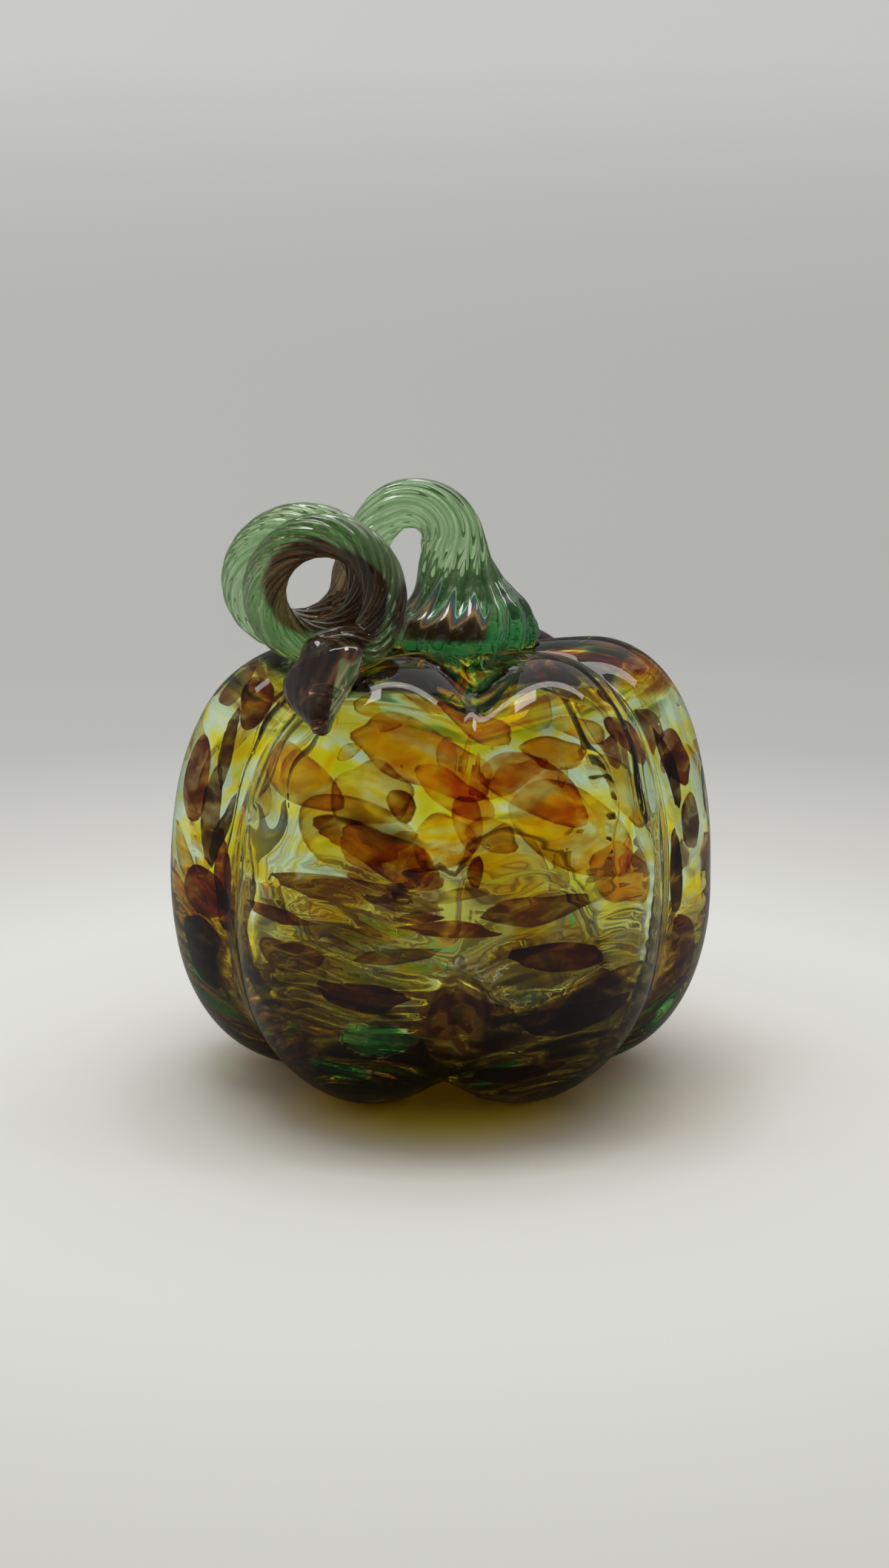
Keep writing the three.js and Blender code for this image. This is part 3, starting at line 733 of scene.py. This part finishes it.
def fluted_green_glass():
    """Solid jade cane pulled from an optic mould, with a brown lustre side. The eye gets fine pale and dark
    lines that follow the flutes, darker in the grooves with painted shade, a milky depth, and teeth of gold,
    purple and blue lustre above the brown: painted sheen, with pale painted highlights at their tips."""
    material, add = new_material("fluted_green_glass")
    sides = {
        name: add("Attribute", attribute_name=name).outputs["Fac"]
        for name in ("flute", "brown_side", "deep_side", "tip_side", "above_brown", "painted_sheen_side")
    }
    cane = add("Attribute", attribute_name="cane_place").outputs["Vector"]
    around = COIL_CANE_RADIUS / CANE_LINE_WIDTH
    drawn_out = add("Mapping", cane, named={"Scale": (around, around, 1 / CANE_LINE_LENGTH)})
    lines = add("TexNoise", drawn_out, named={"Scale": 1.0, "Detail": 2.0, "Roughness": 0.55})
    near, far = cane_colour(add, lines, sides)
    far_side = add("NewGeometry").outputs["Backfacing"]
    seen = add("Mix", far_side, near, far, **MIXED)

    uneven = add("MapRange", lines, 0.0, 1.0, -0.45, 0.45)
    wavy = add("Math", sides["above_brown"], uneven, operation="ADD")
    # Painted sheen and highlights: lustre colours from gold to purple and blue, pale at the teeth's tips.
    lustre = add("ValToRGB", wavy, stops=PAINTED_LUSTRE_SHEEN)
    painted_sheen_share = add("MapRange", wavy, 0.74, 0.84, 1.0, 0.0, **EASED)
    painted_sheen_share = add("Math", painted_sheen_share, sides["painted_sheen_side"], operation="MULTIPLY")
    seen = add("Mix", painted_sheen_share, seen, lustre, **MIXED)
    glass = add("BsdfPrincipled", seen, named={
        "Roughness": 0.06, "IOR": 1.5,
        "Transmission Weight": add("MapRange", painted_sheen_share, 0.0, 1.0, 0.88, 0.35, **EASED),
        "Coat Weight": 1.0, "Coat Roughness": 0.0, "Coat IOR": 1.5,
    })
    glass_with_soft_shadow(add, glass, near)
    return material


# The body.
SEGMENTS = 300
CHILL_LEVELS = (1.1, 2.3)
OUTER_LEVELS = np.concatenate([
    np.linspace(0, 1, 33)[:-1], np.linspace(1, 2, 56)[:-1], np.linspace(2, 3, 56)[:-1], np.linspace(3, 4, 36),
])
INNER_LEVELS = np.concatenate([
    np.linspace(4, 3, 17)[:-1], np.linspace(3, CHILL_LEVELS[1], 21)[:-1],
    np.linspace(CHILL_LEVELS[1], CHILL_LEVELS[0], 76)[:-1], np.linspace(CHILL_LEVELS[0], 0, 18),
])

# Fire-polished waves of the outer face, and what the cold tools left on the inner one.
POLISH_DEPTH = 0.10
POLISH_WAVE = 26.0
POLISH_START = 6.0
SAG_DEPTH = 0.35
SAG_WAVE = 21.0
CHILL_WAVE = 5.0
CHILL_DEPTH = 0.42
CHILL_PATCH = 45.0
CHILL_BEND = 38.0
LOBE_ARCH = 9.0
BASE_BUMP = 0.55
BASE_BUMP_WAVE = 8.0

# A painted view of the pushed-up base as the glass shows it: a mottled oval low in each crease at the front.
BASE_VIEW_ASIDE = 1.0
BASE_VIEW_HEIGHT = 29.0
BASE_VIEW_HALF_WIDTH = 8.5
BASE_VIEW_HALF_HEIGHT = 14.0
BASE_VIEW_REACH = 10.0


def outer_face(turns):
    """Rings of points from the pontil to the opening, and their normals."""
    level, turn = np.meshgrid(OUTER_LEVELS, turns, indexing="ij")
    points, normals = skin_points(level, turn), skin_normals(level, turn)
    sink = POLISH_DEPTH * (1 + ripples(points, POLISH_WAVE, seed=3)) * smooth(points[..., 2] / POLISH_START)
    return points - normals * sink[..., None], normals


def chill_marks(points, level, turn):
    """Ripples that arch over each lobe, where the hot bubble met a cold tool. They fade in the creases."""
    chill = smooth((level - CHILL_LEVELS[0]) / 0.3) * smooth((CHILL_LEVELS[1] - level) / 0.4)
    chill = chill * (0.6 + 0.4 * ripples(points, CHILL_PATCH, seed=4))
    chill *= 0.1 + 0.9 * smooth(lobe_share(turn) / 0.5)
    arch = points[..., 2] - LOBE_ARCH * lobe_share(turn)
    return CHILL_DEPTH * chill * np.sin(arch * TURN / CHILL_WAVE + 2.2 * ripples(points, CHILL_BEND, seed=6))


def inner_face(turns):
    """Rings of points from the opening back to the pontil, a wall's thickness inside the skin."""
    level, turn = np.meshgrid(INNER_LEVELS, turns, indexing="ij")
    points = skin_points(level, turn)
    wall = wall_at(level) + SAG_DEPTH * ripples(points, SAG_WAVE, seed=8)
    wall += BASE_BUMP * smooth((1.0 - level) / 0.2) * ripples(points, BASE_BUMP_WAVE, seed=12)
    wall += chill_marks(points, level, turn)
    return points - skin_normals(level, turn) * wall[..., None]


def make_body():
    turns = np.arange(SEGMENTS) / SEGMENTS * TURN
    outer, outer_normals = outer_face(turns)
    inner = inner_face(turns)
    dent = np.array([0, 0, KICK_HEIGHT + PONTIL_DENT])
    dent_ring = dent + outer[0] * np.array([1, 1, 0]) * (1 - PONTIL_BEVEL / PONTIL_RADIUS)
    rings = np.concatenate([dent_ring[None], outer, inner])
    points = np.concatenate([dent[None], rings.reshape(-1, 3), inner[-1].mean(0)[None]])
    quads, caps = ring_faces(len(rings), SEGMENTS)
    body = new_piece("glass_body", points, quads + caps, cased_colour_glass(), clear_bubble_glass())
    in_bubble = np.zeros(len(quads) + len(caps), np.int32)
    in_bubble[len(OUTER_LEVELS) * SEGMENTS : len(quads)] = 1
    in_bubble[-SEGMENTS:] = 1
    body.data.polygons.foreach_set("material_index", in_bubble)

    normals = np.zeros_like(points)
    normals[:, 2] = -1
    normals[1 + SEGMENTS : 1 + SEGMENTS * (1 + len(OUTER_LEVELS))] = outer_normals.reshape(-1, 3)
    set_chips(body.data, points, normals)
    ring_levels = np.concatenate([[0], OUTER_LEVELS, INNER_LEVELS])
    levels = np.concatenate([[0], np.repeat(ring_levels, SEGMENTS), [0]])
    around = np.concatenate([[0], np.tile(turns, len(rings)), [0]])
    set_places(body.data, points, levels, around)
    return body


def set_chips(mesh, points, normals):
    edges, tints = chip_fields(points, normals)
    green_glass = ((edges > 0) & (tints[..., 1] > 2 * tints[..., 0])).any(0)
    set_attribute(mesh, "green_glass", "FLOAT", green_glass)
    for layer in range(CHIP_LAYERS):
        set_attribute(mesh, f"chip_edge_{layer}", "FLOAT", edges[layer])
        set_attribute(mesh, f"chip_tint_{layer}", "FLOAT_COLOR", tints[layer])


def set_places(mesh, points, levels, around):
    """What the streaks and the painted view of the base in the creases follow: each point's place on the skin,
    its height under the arch of its lobe, and how far inside a crease's oval it is."""
    set_attribute(mesh, "skin_place", "FLOAT_VECTOR", np.stack([np.cos(around), np.sin(around), levels], -1))
    arch = np.stack([np.zeros_like(around), np.zeros_like(around), LOBE_ARCH * lobe_share(around)], -1)
    set_attribute(mesh, "arched_place", "FLOAT_VECTOR", (points - arch) * MM)
    lobe = TURN / LOBES
    aside = ((around + lobe / 2) % lobe - lobe / 2) * np.hypot(*points[:, :2].T) - BASE_VIEW_ASIDE
    off_middle = np.hypot(aside / BASE_VIEW_HALF_WIDTH, (points[:, 2] - BASE_VIEW_HEIGHT) / BASE_VIEW_HALF_HEIGHT)
    behind = points[:, 1] > BASE_VIEW_REACH
    set_attribute(mesh, "painted_base_view", "FLOAT", 1 - behind - off_middle)


# Air seeds in the wall.
SEEDS_PER_SQUARE_METRE = 2600.0
SEED_DEPTH = 2.4 * MM
SEED_RADIUS = 0.4 * MM
SEED_SIZES = (0.5, 1.9)


def seeds_in_wall(material):
    """Geometry nodes: scatters points on the bubble's inner face, moves them into the wall and puts a tiny
    sphere on each. The body keeps its own mesh."""
    tree = bpy.data.node_groups.new("seeds_in_wall", "GeometryNodeTree")
    tree.interface.new_socket("Geometry", in_out="INPUT", socket_type="NodeSocketGeometry")
    sizes = {
        "Seeds per Square Metre": SEEDS_PER_SQUARE_METRE, "Depth": SEED_DEPTH, "Radius": SEED_RADIUS,
        "Smallest Size": SEED_SIZES[0], "Largest Size": SEED_SIZES[1],
    }
    for name, value in sizes.items():
        tree.interface.new_socket(name, in_out="INPUT", socket_type="NodeSocketFloat").default_value = value
    tree.interface.new_socket("Geometry", in_out="OUTPUT", socket_type="NodeSocketGeometry")
    add = functools.partial(add_node, tree)
    given = add("NodeGroupInput").outputs
    scatter = add("GeometryNodeDistributePointsOnFaces", named={
        "Mesh": given["Geometry"], "Selection": add("GeometryNodeInputMaterialIndex"),
        "Density": given["Seeds per Square Metre"], "Seed": 4,
    })
    inwards = add("Math", given["Depth"], -1.0, operation="MULTIPLY")
    into_wall = add("VectorMath", scatter.outputs["Normal"], inwards, operation="SCALE")
    points = add("GeometryNodeSetPosition", scatter, named={"Offset": into_wall})
    ball = add("GeometryNodeMeshIcoSphere", given["Radius"], 2)
    smallest, largest = given["Smallest Size"], given["Largest Size"]
    size = add("FunctionNodeRandomValue", smallest, largest, named={"Seed": 9})
    seeds = add("GeometryNodeInstanceOnPoints", points, named={"Instance": ball, "Scale": size})
    seeds = add("GeometryNodeRealizeInstances", seeds)
    seeds = add("GeometryNodeSetShadeSmooth", seeds)
    seeds = add("GeometryNodeSetMaterial", seeds, named={"Material": material})
    both = add("GeometryNodeJoinGeometry", given["Geometry"])
    tree.links.new(seeds.outputs[0], both.inputs[0])
    add("NodeGroupOutput", both)
    return tree


def add_seeds(body):
    modifier = body.modifiers.new("seeds", "NODES")
    modifier.node_group = seeds_in_wall(body.data.materials[1])
    scene_graph = bpy.context.evaluated_depsgraph_get()
    mesh = bpy.data.meshes.new_from_object(body.evaluated_get(scene_graph), depsgraph=scene_graph)
    body.modifiers.clear()
    body.data = mesh


# The stem.
def ridge_height_at(radius):
    level = np.linspace(3, 4, 400)
    radii, heights = profile_at(level, np.ones_like(level)).T
    return float(np.interp(-radius, -radii, heights))


# The riser's stations, as shares of its height, of its narrowing and of its lean.
RISER_SHARES = [
    (0, 0, 0), (0.14, 0.05, 0), (0.28, 0.2, 0), (0.42, 0.48, 0.15), (0.58, 0.74, 0.4), (0.79, 0.9, 0.75),
]
# The tip's stations: level, then shares of its spread, half width, half thickness and height off the skin.
TIP_SHARES = [
    (2.84, -0.25, 0.43, 1.05, 1.6),
    (2.775, -0.4, 0.42, 0.95, 1.95),
    (2.755, -0.15, 0.68, 0.95, 1.7),
    (2.73, 0.05, 1, 1.05, 1.35),
    (2.667, 0.45, 0.92, 0.98, 0.9),
    (2.59, 0.95, 0.58, 0.85, 0.74),
    (2.53, 1.35, TIP_END_RADIUS / TIP_HALF_WIDTH, TIP_END_RADIUS / TIP_HALF_THICKNESS, 0.64),
]


def mix(start, end, share):
    return start + (end - start) * share


def coil_points():
    points = []
    for step in range(round(COIL_TURNS * COIL_STEPS_PER_TURN) + 1):
        turns = step / COIL_STEPS_PER_TURN
        angle = -turns * TURN
        wide = mix(COIL_START_RADIUS, COIL_END_RADIUS, turns / COIL_TURNS)
        ring = np.array([wide * math.cos(angle), 0, COIL_HEIGHT_RADIUS * math.sin(angle)])
        points.append(COIL_MIDDLE + COIL_STEP * turns + ring)
    return np.array(points)


def lift_onto_crown(centres, reach):
    """How far a cane with these centres has to rise to lie on the crown and the shoulders."""
    level, turn = np.meshgrid(np.arange(2.3, 4.001, 0.05), np.arange(120) / 120 * TURN, indexing="ij")
    ground = skin_points(level, turn).reshape(-1, 3)
    beside = np.linalg.norm(centres[:, None, :2] - ground[None, :, :2], axis=-1)
    rise = ground[None, :, 2] + np.sqrt(np.maximum(reach**2 - beside**2, 0)) - centres[:, None, 2]
    return rise[beside < reach].max()


def stem_stations():
    """Centre, radius, share of thickness and depth of flutes at each station of the cane."""
    stations = []
    foot = np.array([CROWN_SHIFT + SKIRT_OFFSET, 0, 0])
    foot[2] = ridge_height_at(SKIRT_OFFSET + SKIRT_RADIUS) - SKIRT_SAG + SKIRT_LIP
    for height, slim, lean in RISER_SHARES:
        flute = mix(SKIRT_FLUTE_SHARE, CANE_FLUTE_SHARE, height)
        rise = np.array([-RISER_LEAN * lean, 0, RISER_HEIGHT * height])
        stations.append((foot + rise, mix(SKIRT_RADIUS, RISER_RADIUS, slim), 1, flute))
    loop_middle = foot + np.array([-RISER_LEAN - LOOP_RADIUS, 0, RISER_HEIGHT])
    for step in range(LOOP_STEPS + 1):
        share = step / LOOP_STEPS
        left = LOOP_RADIUS * (1 - math.cos(share * LOOP_SWEEP))
        offset = np.array([LOOP_RADIUS - left * math.cos(LOOP_YAW), -left * math.sin(LOOP_YAW),
                           LOOP_RADIUS * math.sin(share * LOOP_SWEEP)])
        rising = mix(RISER_RADIUS, LOOP_TOP_RADIUS, share * 2)
        falling = mix(LOOP_TOP_RADIUS, LOOP_END_RADIUS, share * 2 - 1)
        stations.append((loop_middle + offset, rising if share < 0.5 else falling, 1, CANE_FLUTE_SHARE))
    coil = coil_points()
    lift = lift_onto_crown(coil, COIL_CANE_RADIUS * COIL_REACH_SHARE + SEAT_CLEARANCE - SEAT_PRESS)
    for point in coil:
        stations.append((point + np.array([0, 0, lift]), COIL_CANE_RADIUS, 1, CANE_FLUTE_SHARE))
    for level, turn, width, thick, height in TIP_SHARES:
        tip_turn = TIP_TURN + TIP_SPREAD * turn
        place, out = (f(np.array(level), np.array(tip_turn)) for f in (skin_points, skin_normals))
        half_width = TIP_HALF_WIDTH * width
        thickness = TIP_HALF_THICKNESS * thick / half_width
        stations.append((place + out * TIP_HALF_THICKNESS * height, half_width, thickness, TIP_FLUTE_SHARE))
    return stations


def spline(points, times, at):
    """Catmull-Rom curve through points, with the given spans of time between them. at counts the points."""
    spans = np.diff(times)
    padded = np.concatenate([[2 * points[0] - points[1]], points, [2 * points[-1] - points[-2]]])
    spans = np.concatenate([spans[:1], spans, spans[-1:]])
    index = np.clip(np.floor(at).astype(int), 0, len(points) - 2)
    t = (at - index)[:, None]
    p0, p1, p2, p3 = (padded[index + i] for i in range(4))
    d0, d1, d2 = (spans[index + i][:, None] for i in range(3))
    start = ((p1 - p0) / d0 - (p2 - p0) / (d0 + d1) + (p2 - p1) / d1) * d1
    end = ((p2 - p1) / d1 - (p3 - p1) / (d1 + d2) + (p3 - p2) / d2) * d1
    a, b = 2 * p1 - 2 * p2 + start + end, -3 * p1 + 3 * p2 - 2 * start - end
    return ((a * t + b) * t + start) * t + p1


STEM_RINGS = 420
STEM_SIDES = FLUTES * 12
TEETH_SEED = 2


def cane_path():
    """The cane's centres, ways and girths, evenly along it, and its length."""
    stations = stem_stations()
    centres = np.array([s[0] for s in stations])
    sizes = np.array([s[1:] for s in stations], float)
    chords = np.sqrt(np.linalg.norm(np.diff(centres, axis=0), axis=1))
    times = np.concatenate([[0], np.cumsum(chords)])
    fine = np.linspace(0, len(centres) - 1, 8000)
    fine_path = spline(centres, times, fine)
    run = np.concatenate([[0], np.cumsum(np.linalg.norm(np.diff(fine_path, axis=0), axis=1))])
    at = np.interp(np.linspace(0, run[-1], STEM_RINGS), run, fine)
    small = 1e-3
    inner_at = np.clip(at, small, len(centres) - 1 - small)
    before, after = (spline(centres, times, inner_at + step) for step in (-small, small))
    return spline(centres, times, at), unit(after - before), spline(sizes, np.arange(len(sizes)), at), run[-1]


def cane_rings(corner):
    """Rings of the cane, with flutes that wind as it goes on and a flattened tip, and its length."""
    path, ways, girths, length = cane_path()
    facing = skin_normals(np.array(TIP_LEVEL), np.array(TIP_TURN))
    side = np.array([0, -1.0, 0])
    rings, wind = [], 0.0
    for centre, along, (radius, thick, flute) in zip(path, ways, girths):
        side = unit(side - along * (side @ along))
        across = np.cross(along, side)
        flat = unit(facing - along * (facing @ along))
        reach = radius * (1 + flute * np.cos(FLUTES * corner))
        around = side * np.cos(corner + wind)[:, None] + across * np.sin(corner + wind)[:, None]
        offset = reach[:, None] * around
        offset += flat * ((thick - 1) * (offset @ flat))[:, None]
        rings.append(centre + offset)
        wind += FLUTE_SLOPE * length / (STEM_RINGS - 1) / radius
    return np.array(rings), length


def foot_rings(lip):
    """Rings of the plug in the body's opening and of the skirt's sole, up to the skirt's lip."""
    middle = lip.mean(0)
    outward = unit((lip - middle) * np.array([1, 1, 0]))
    plug = [PLUG_MIDDLE + outward * PLUG_RADIUS + np.array([0, 0, z]) for z in (PLUG_FOOT, PLUG_TOP)]
    sole = mix(lip, middle, SKIRT_BEVEL)
    sole[:, 2] = middle[2] - SKIRT_LIP
    under_skirt = [mix(plug[1], sole, share) for share in np.linspace(0.1, 0.9, 9)]
    return plug + under_skirt + [sole, mix(sole, lip, 0.5)]


def lay_on(body, points):
    """Where the hot cane was laid on the body, it takes the body's shape."""
    tree = BVHTree.FromObject(body, bpy.context.evaluated_depsgraph_get())
    clearance = SEAT_CLEARANCE / 2
    for i, point in enumerate(points):
        spot, normal, _, _ = tree.find_nearest(Vector(point * MM), SEAT_REACH * MM)
        if spot is not None:
            depth = (Vector(point * MM) - spot).dot(normal) / MM
            if depth < clearance:
                points[i] = np.array(spot) / MM + np.array(normal) * clearance


def make_stem(body):
    corner = np.arange(STEM_SIDES) / STEM_SIDES * TURN
    cane, length = cane_rings(corner)
    end_middle = cane[-1].mean(0)
    onward = unit(end_middle - cane[-2].mean(0))
    cap = [end_middle + (cane[-1] - end_middle) * math.sqrt(1 - s * s) + onward * TIP_END_RADIUS * s
           for s in (0.3, 0.55, 0.75, 0.9, 0.98)]
    rings = np.concatenate([foot_rings(cane[0]), cane, cap])
    first, last = PLUG_MIDDLE + [0, 0, PLUG_FOOT], end_middle + onward * TIP_END_RADIUS
    points = np.concatenate([[first], rings.reshape(-1, 3), [last]])
    lay_on(body, points)
    quads, caps = ring_faces(len(rings), STEM_SIDES)
    stem = new_piece("fluted_stem", points, quads + caps, fluted_green_glass())
    ring_numbers = np.concatenate([[0], np.repeat(np.arange(len(rings)), STEM_SIDES), [len(rings)]])
    angles = np.concatenate([[0], np.tile(corner, len(rings)), [0]])
    set_sides(stem.data, points, angles, ring_numbers * length / STEM_RINGS)
    return stem


# Where the cane changes colour, in millimetres: where a fade starts, and how wide it is.
DEEP_UNDER = (132, 19)
DEEP_RIGHT_OF = (-16, 5)
# Where the painted lustre sheen lies, in teeth above the brown side.
LUSTRE_HEIGHT = 116
LUSTRE_WAVE = 1.3
LUSTRE_TOOTH = 5
LUSTRE_TEETH = (0, 14)
LUSTRE_MIDDLE = 1.5
LUSTRE_HALF_WIDTH = (11.5, 3)
LUSTRE_OVER = (112.6, 0.9)
TIP_UNDER = (121, 4)
TIP_EDGE = (-23.5, 1.5)
TIP_EDGE_HEIGHT = 110
TIP_EDGE_SLOPE = 0.18
TIP_FRONT = (-32, 4)
COIL_BROWN_MIDDLE = (-31, 128)
COIL_BROWN_RADIUS = 13
COIL_BROWN_RIGHT_OF = (-27, 7)
COIL_BROWN_UNDER = (141, 14)
COIL_FRONT = (-8, 4)
COIL_LEFT_OF = (-11, 3)
SKIRT_BROWN_MIDDLE = (-8, 121)
SKIRT_BROWN_SIZE = (5, 12)


def over(value, start, width):
    """0 up to the start, and 1 from a width further on."""
    return smooth((value - start) / width)


def under(value, start, width):
    """0 down to the start, and 1 from a width further down."""
    return smooth((start - value) / width)


def set_sides(mesh, points, angles, along):
    """What the cane's lines, its brown side and its painted lustre sheen follow."""
    x, y, z = points.T
    flute = np.cos(FLUTES * angles)
    set_attribute(mesh, "cane_place", "FLOAT_VECTOR", np.stack([np.cos(angles), np.sin(angles), along], -1))
    set_attribute(mesh, "flute", "FLOAT", flute)
    set_attribute(mesh, "deep_side", "FLOAT", under(z, *DEEP_UNDER) * over(x, *DEEP_RIGHT_OF))
    teeth = np.random.default_rng(TEETH_SEED).uniform(*LUSTRE_TEETH, FLUTES)
    tooth = teeth[np.round(FLUTES * angles / TURN).astype(int) % FLUTES] * (0.5 + 0.5 * flute)
    above_brown = (z - LUSTRE_HEIGHT - LUSTRE_WAVE * flute) / (LUSTRE_TOOTH + tooth)
    set_attribute(mesh, "above_brown", "FLOAT", above_brown)
    painted_sheen_side = under(np.abs(x - LUSTRE_MIDDLE), *LUSTRE_HALF_WIDTH) * under(y, 0, 6)
    set_attribute(mesh, "painted_sheen_side", "FLOAT", painted_sheen_side * over(z, *LUSTRE_OVER))
    set_attribute(mesh, "brown_side", "FLOAT", brown_side(points))
    set_attribute(mesh, "tip_side", "FLOAT", tip_side(points))


def tip_side(points):
    """The flattened tip, but for its right edge."""
    x, y, z = points.T
    edge = TIP_EDGE[0] - TIP_EDGE_SLOPE * (TIP_EDGE_HEIGHT - z)
    return under(z, *TIP_UNDER) * under(x, edge, TIP_EDGE[1]) * under(y, *TIP_FRONT)


def brown_side(points):
    """Where the cane is brown: the inner side of the coil, the front of the skirt and the tip."""
    x, y, z = points.T
    from_middle = np.hypot(x - COIL_BROWN_MIDDLE[0], z - COIL_BROWN_MIDDLE[1]) / COIL_BROWN_RADIUS
    wider = 0.55 * over(x, *COIL_BROWN_RIGHT_OF) * under(z, *COIL_BROWN_UNDER)
    coil = under(from_middle, 1.05 + wider, 0.28) * under(y, *COIL_FRONT) * under(x, *COIL_LEFT_OF)
    aside = (x - SKIRT_BROWN_MIDDLE[0]) / SKIRT_BROWN_SIZE[0]
    above = (z - SKIRT_BROWN_MIDDLE[1]) / SKIRT_BROWN_SIZE[1]
    skirt = smooth(1.7 - 1.7 * np.hypot(aside, above)) * under(y, 0, 5)
    return np.clip(coil + skirt + tip_side(points), 0, 1)


# Stage, light and camera.
FLOOR_RADIUS = 1.6
FLOOR_DROP = 0.3 * MM
PAINTED_SHADOW_MIDDLE = (0, -28 * MM, 0)
PAINTED_SHADOW_SIZE = 100 * MM
PAINTED_FALLOFF_CARD = (
    (0.0, "eeedea"), (0.10, "ecece9"), (0.17, "dad9d6"), (0.30, "c0c0bd"), (0.50, "b9b9b5"), (0.74, "b9b9b5"),
)
PAINTED_SHADOW_AND_GLOW = ((0.20, "b8a83a"), (0.27, "bcae62"), (0.42, "c4c0b4"), (0.62, "f2f1ec"), (0.85, "ffffff"))
ROOM = ((0.0, "b9b9b5"), (0.06, "c0c0bd"), (0.16, "cececc"), (1.0, "d3d3d1"))


def pale_floor():
    """Matt white card, which keeps the object's shadow. Painted shade darkens it away from the object and a
    little towards the right, as the light falls off. Under and in front of the object, a painted shadow, warm
    as if lit through the glass, darkens it further."""
    material, add = new_material("pale_card")
    place = add("TexCoord").outputs["Object"]
    away = add("VectorMath", place, operation="LENGTH")
    share = add("Math", away, FLOOR_RADIUS, operation="DIVIDE")
    # Painted shade: the card darkens away from the object, as the light falls off.
    card = add("ValToRGB", share, stops=PAINTED_FALLOFF_CARD)
    # Painted shadow: the card is darker and warmer under and in front of the object.
    under = add("VectorMath", place, PAINTED_SHADOW_MIDDLE, operation="DISTANCE")
    under = add("Math", under, PAINTED_SHADOW_SIZE, operation="DIVIDE")
    painted_shadow = add("ValToRGB", under, stops=PAINTED_SHADOW_AND_GLOW)
    card = add("Mix", 1.0, card, painted_shadow, **TINTED)
    # Painted shade: the card is a little darker towards the right, as if lit from the left.
    aside = add("SeparateXYZ", place).outputs["X"]
    right = add("MapRange", aside, -1.3, 1.3, **EASED)
    card = add("Mix", right, card, "efefef", **TINTED)
    rays = add("LightPath").outputs
    gloss = add("Math", reflected(add, rays), 0.8, operation="MULTIPLY")
    card = add("Mix", gloss, card, "585858", **MIXED)
    diffuse = add("BsdfDiffuse", card)
    glow = add("Emission", card, 1.0)
    seen = add("Math", rays["Is Camera Ray"], rays["Is Glossy Ray"], operation="MAXIMUM")
    seen = add("Math", seen, rays["Is Transmission Ray"], operation="MAXIMUM")
    far = add("MapRange", away, 0.25, 0.6, **EASED)
    far_and_seen = add("Math", seen, far, operation="MULTIPLY")
    add("OutputMaterial", add("MixShader", far_and_seen, diffuse, glow))
    return material


def make_room():
    """The world. The room behind the camera is darker than the backdrop, which glass shows."""
    world = bpy.data.worlds.new("soft_room")
    bpy.context.scene.world = world
    world.use_nodes = True
    tree = world.node_tree
    tree.nodes.clear()
    add = functools.partial(add_node, tree)
    way = add("SeparateXYZ", add("TexCoord").outputs["Generated"]).outputs
    height = add("MapRange", way["Z"], -0.02, 0.5, **EASED)
    room = add("ValToRGB", height, stops=ROOM)
    right = add("MapRange", way["X"], -0.8, 0.8, **EASED)
    room = add("Mix", right, room, "efefef", **TINTED)
    rays = add("LightPath").outputs
    front = add("MapRange", way["Y"], 0.15, -0.45, **EASED)
    gloss = reflected(add, rays)
    dark_gloss = add("Math", gloss, 0.92, operation="MULTIPLY")
    dark_through = add("Math", rays["Is Transmission Ray"], 0.6, operation="MULTIPLY")
    dark = add("Math", dark_gloss, dark_through, operation="ADD")
    dark = add("Math", front, dark, operation="MULTIPLY")
    dim = add("Math", gloss, 0.75, operation="MULTIPLY")
    darkest = add("Math", dark, dim, operation="MAXIMUM")
    strength = add("Math", 1.0, darkest, operation="SUBTRACT")
    add("OutputWorld", add("Background", room, strength))


def make_floor():
    sides = 96
    angles = np.arange(sides) / sides * TURN
    ring = np.stack([np.cos(angles), np.sin(angles), np.zeros(sides)], -1) * FLOOR_RADIUS / MM
    floor = new_piece("floor", ring - np.array([0, 0, FLOOR_DROP / MM]), [tuple(range(sides))], pale_floor())


def add_lamp(name, place, wide, deep, watts):
    lamp = bpy.data.lights.new(name, "AREA")
    lamp.shape = "RECTANGLE"
    lamp.size = wide
    lamp.size_y = deep
    lamp.energy = watts
    holder = bpy.data.objects.new(name, lamp)
    holder.location = place
    holder.rotation_euler = (Vector((0, 0, 0.06)) - Vector(place)).to_track_quat("-Z", "Y").to_euler()
    bpy.context.scene.collection.objects.link(holder)


def make_camera():
    camera = bpy.data.objects.new("camera", bpy.data.cameras.new("camera"))
    camera.data.lens = CAMERA_LENS
    camera.data.sensor_width = 36.0
    camera.data.clip_start = 0.01
    camera.location = (CAMERA_ASIDE, -CAMERA_AWAY, CAMERA_HEIGHT)
    camera.rotation_euler = (math.pi / 2 - CAMERA_PITCH, 0, 0)
    bpy.context.scene.collection.objects.link(camera)
    bpy.context.scene.camera = camera


make_camera()
make_floor()
make_room()
add_lamp("overhead_strip", (0.0, 0.2, 1.2), 1.8, 0.15, 3.2)
add_lamp("back_softbox", (0.2, 0.7, 1.3), 1.4, 1.4, 3.0)
add_lamp("ceiling_window", (-0.25, -0.02, 1.1), 0.24, 0.3, 1.5)

body = make_body()
stem = make_stem(body)
add_seeds(body)
chips = [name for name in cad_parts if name.startswith("colour_chip_")]
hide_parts("inner_bubble", "clear_casing", *chips)
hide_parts("stem")
for piece in (body, stem):
    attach(piece, "root")

scene = bpy.context.scene
scene.view_settings.view_transform = "Standard"
scene.cycles.max_bounces = 32
scene.cycles.transmission_bounces = 32
scene.cycles.glossy_bounces = 12
scene.cycles.transparent_max_bounces = 32
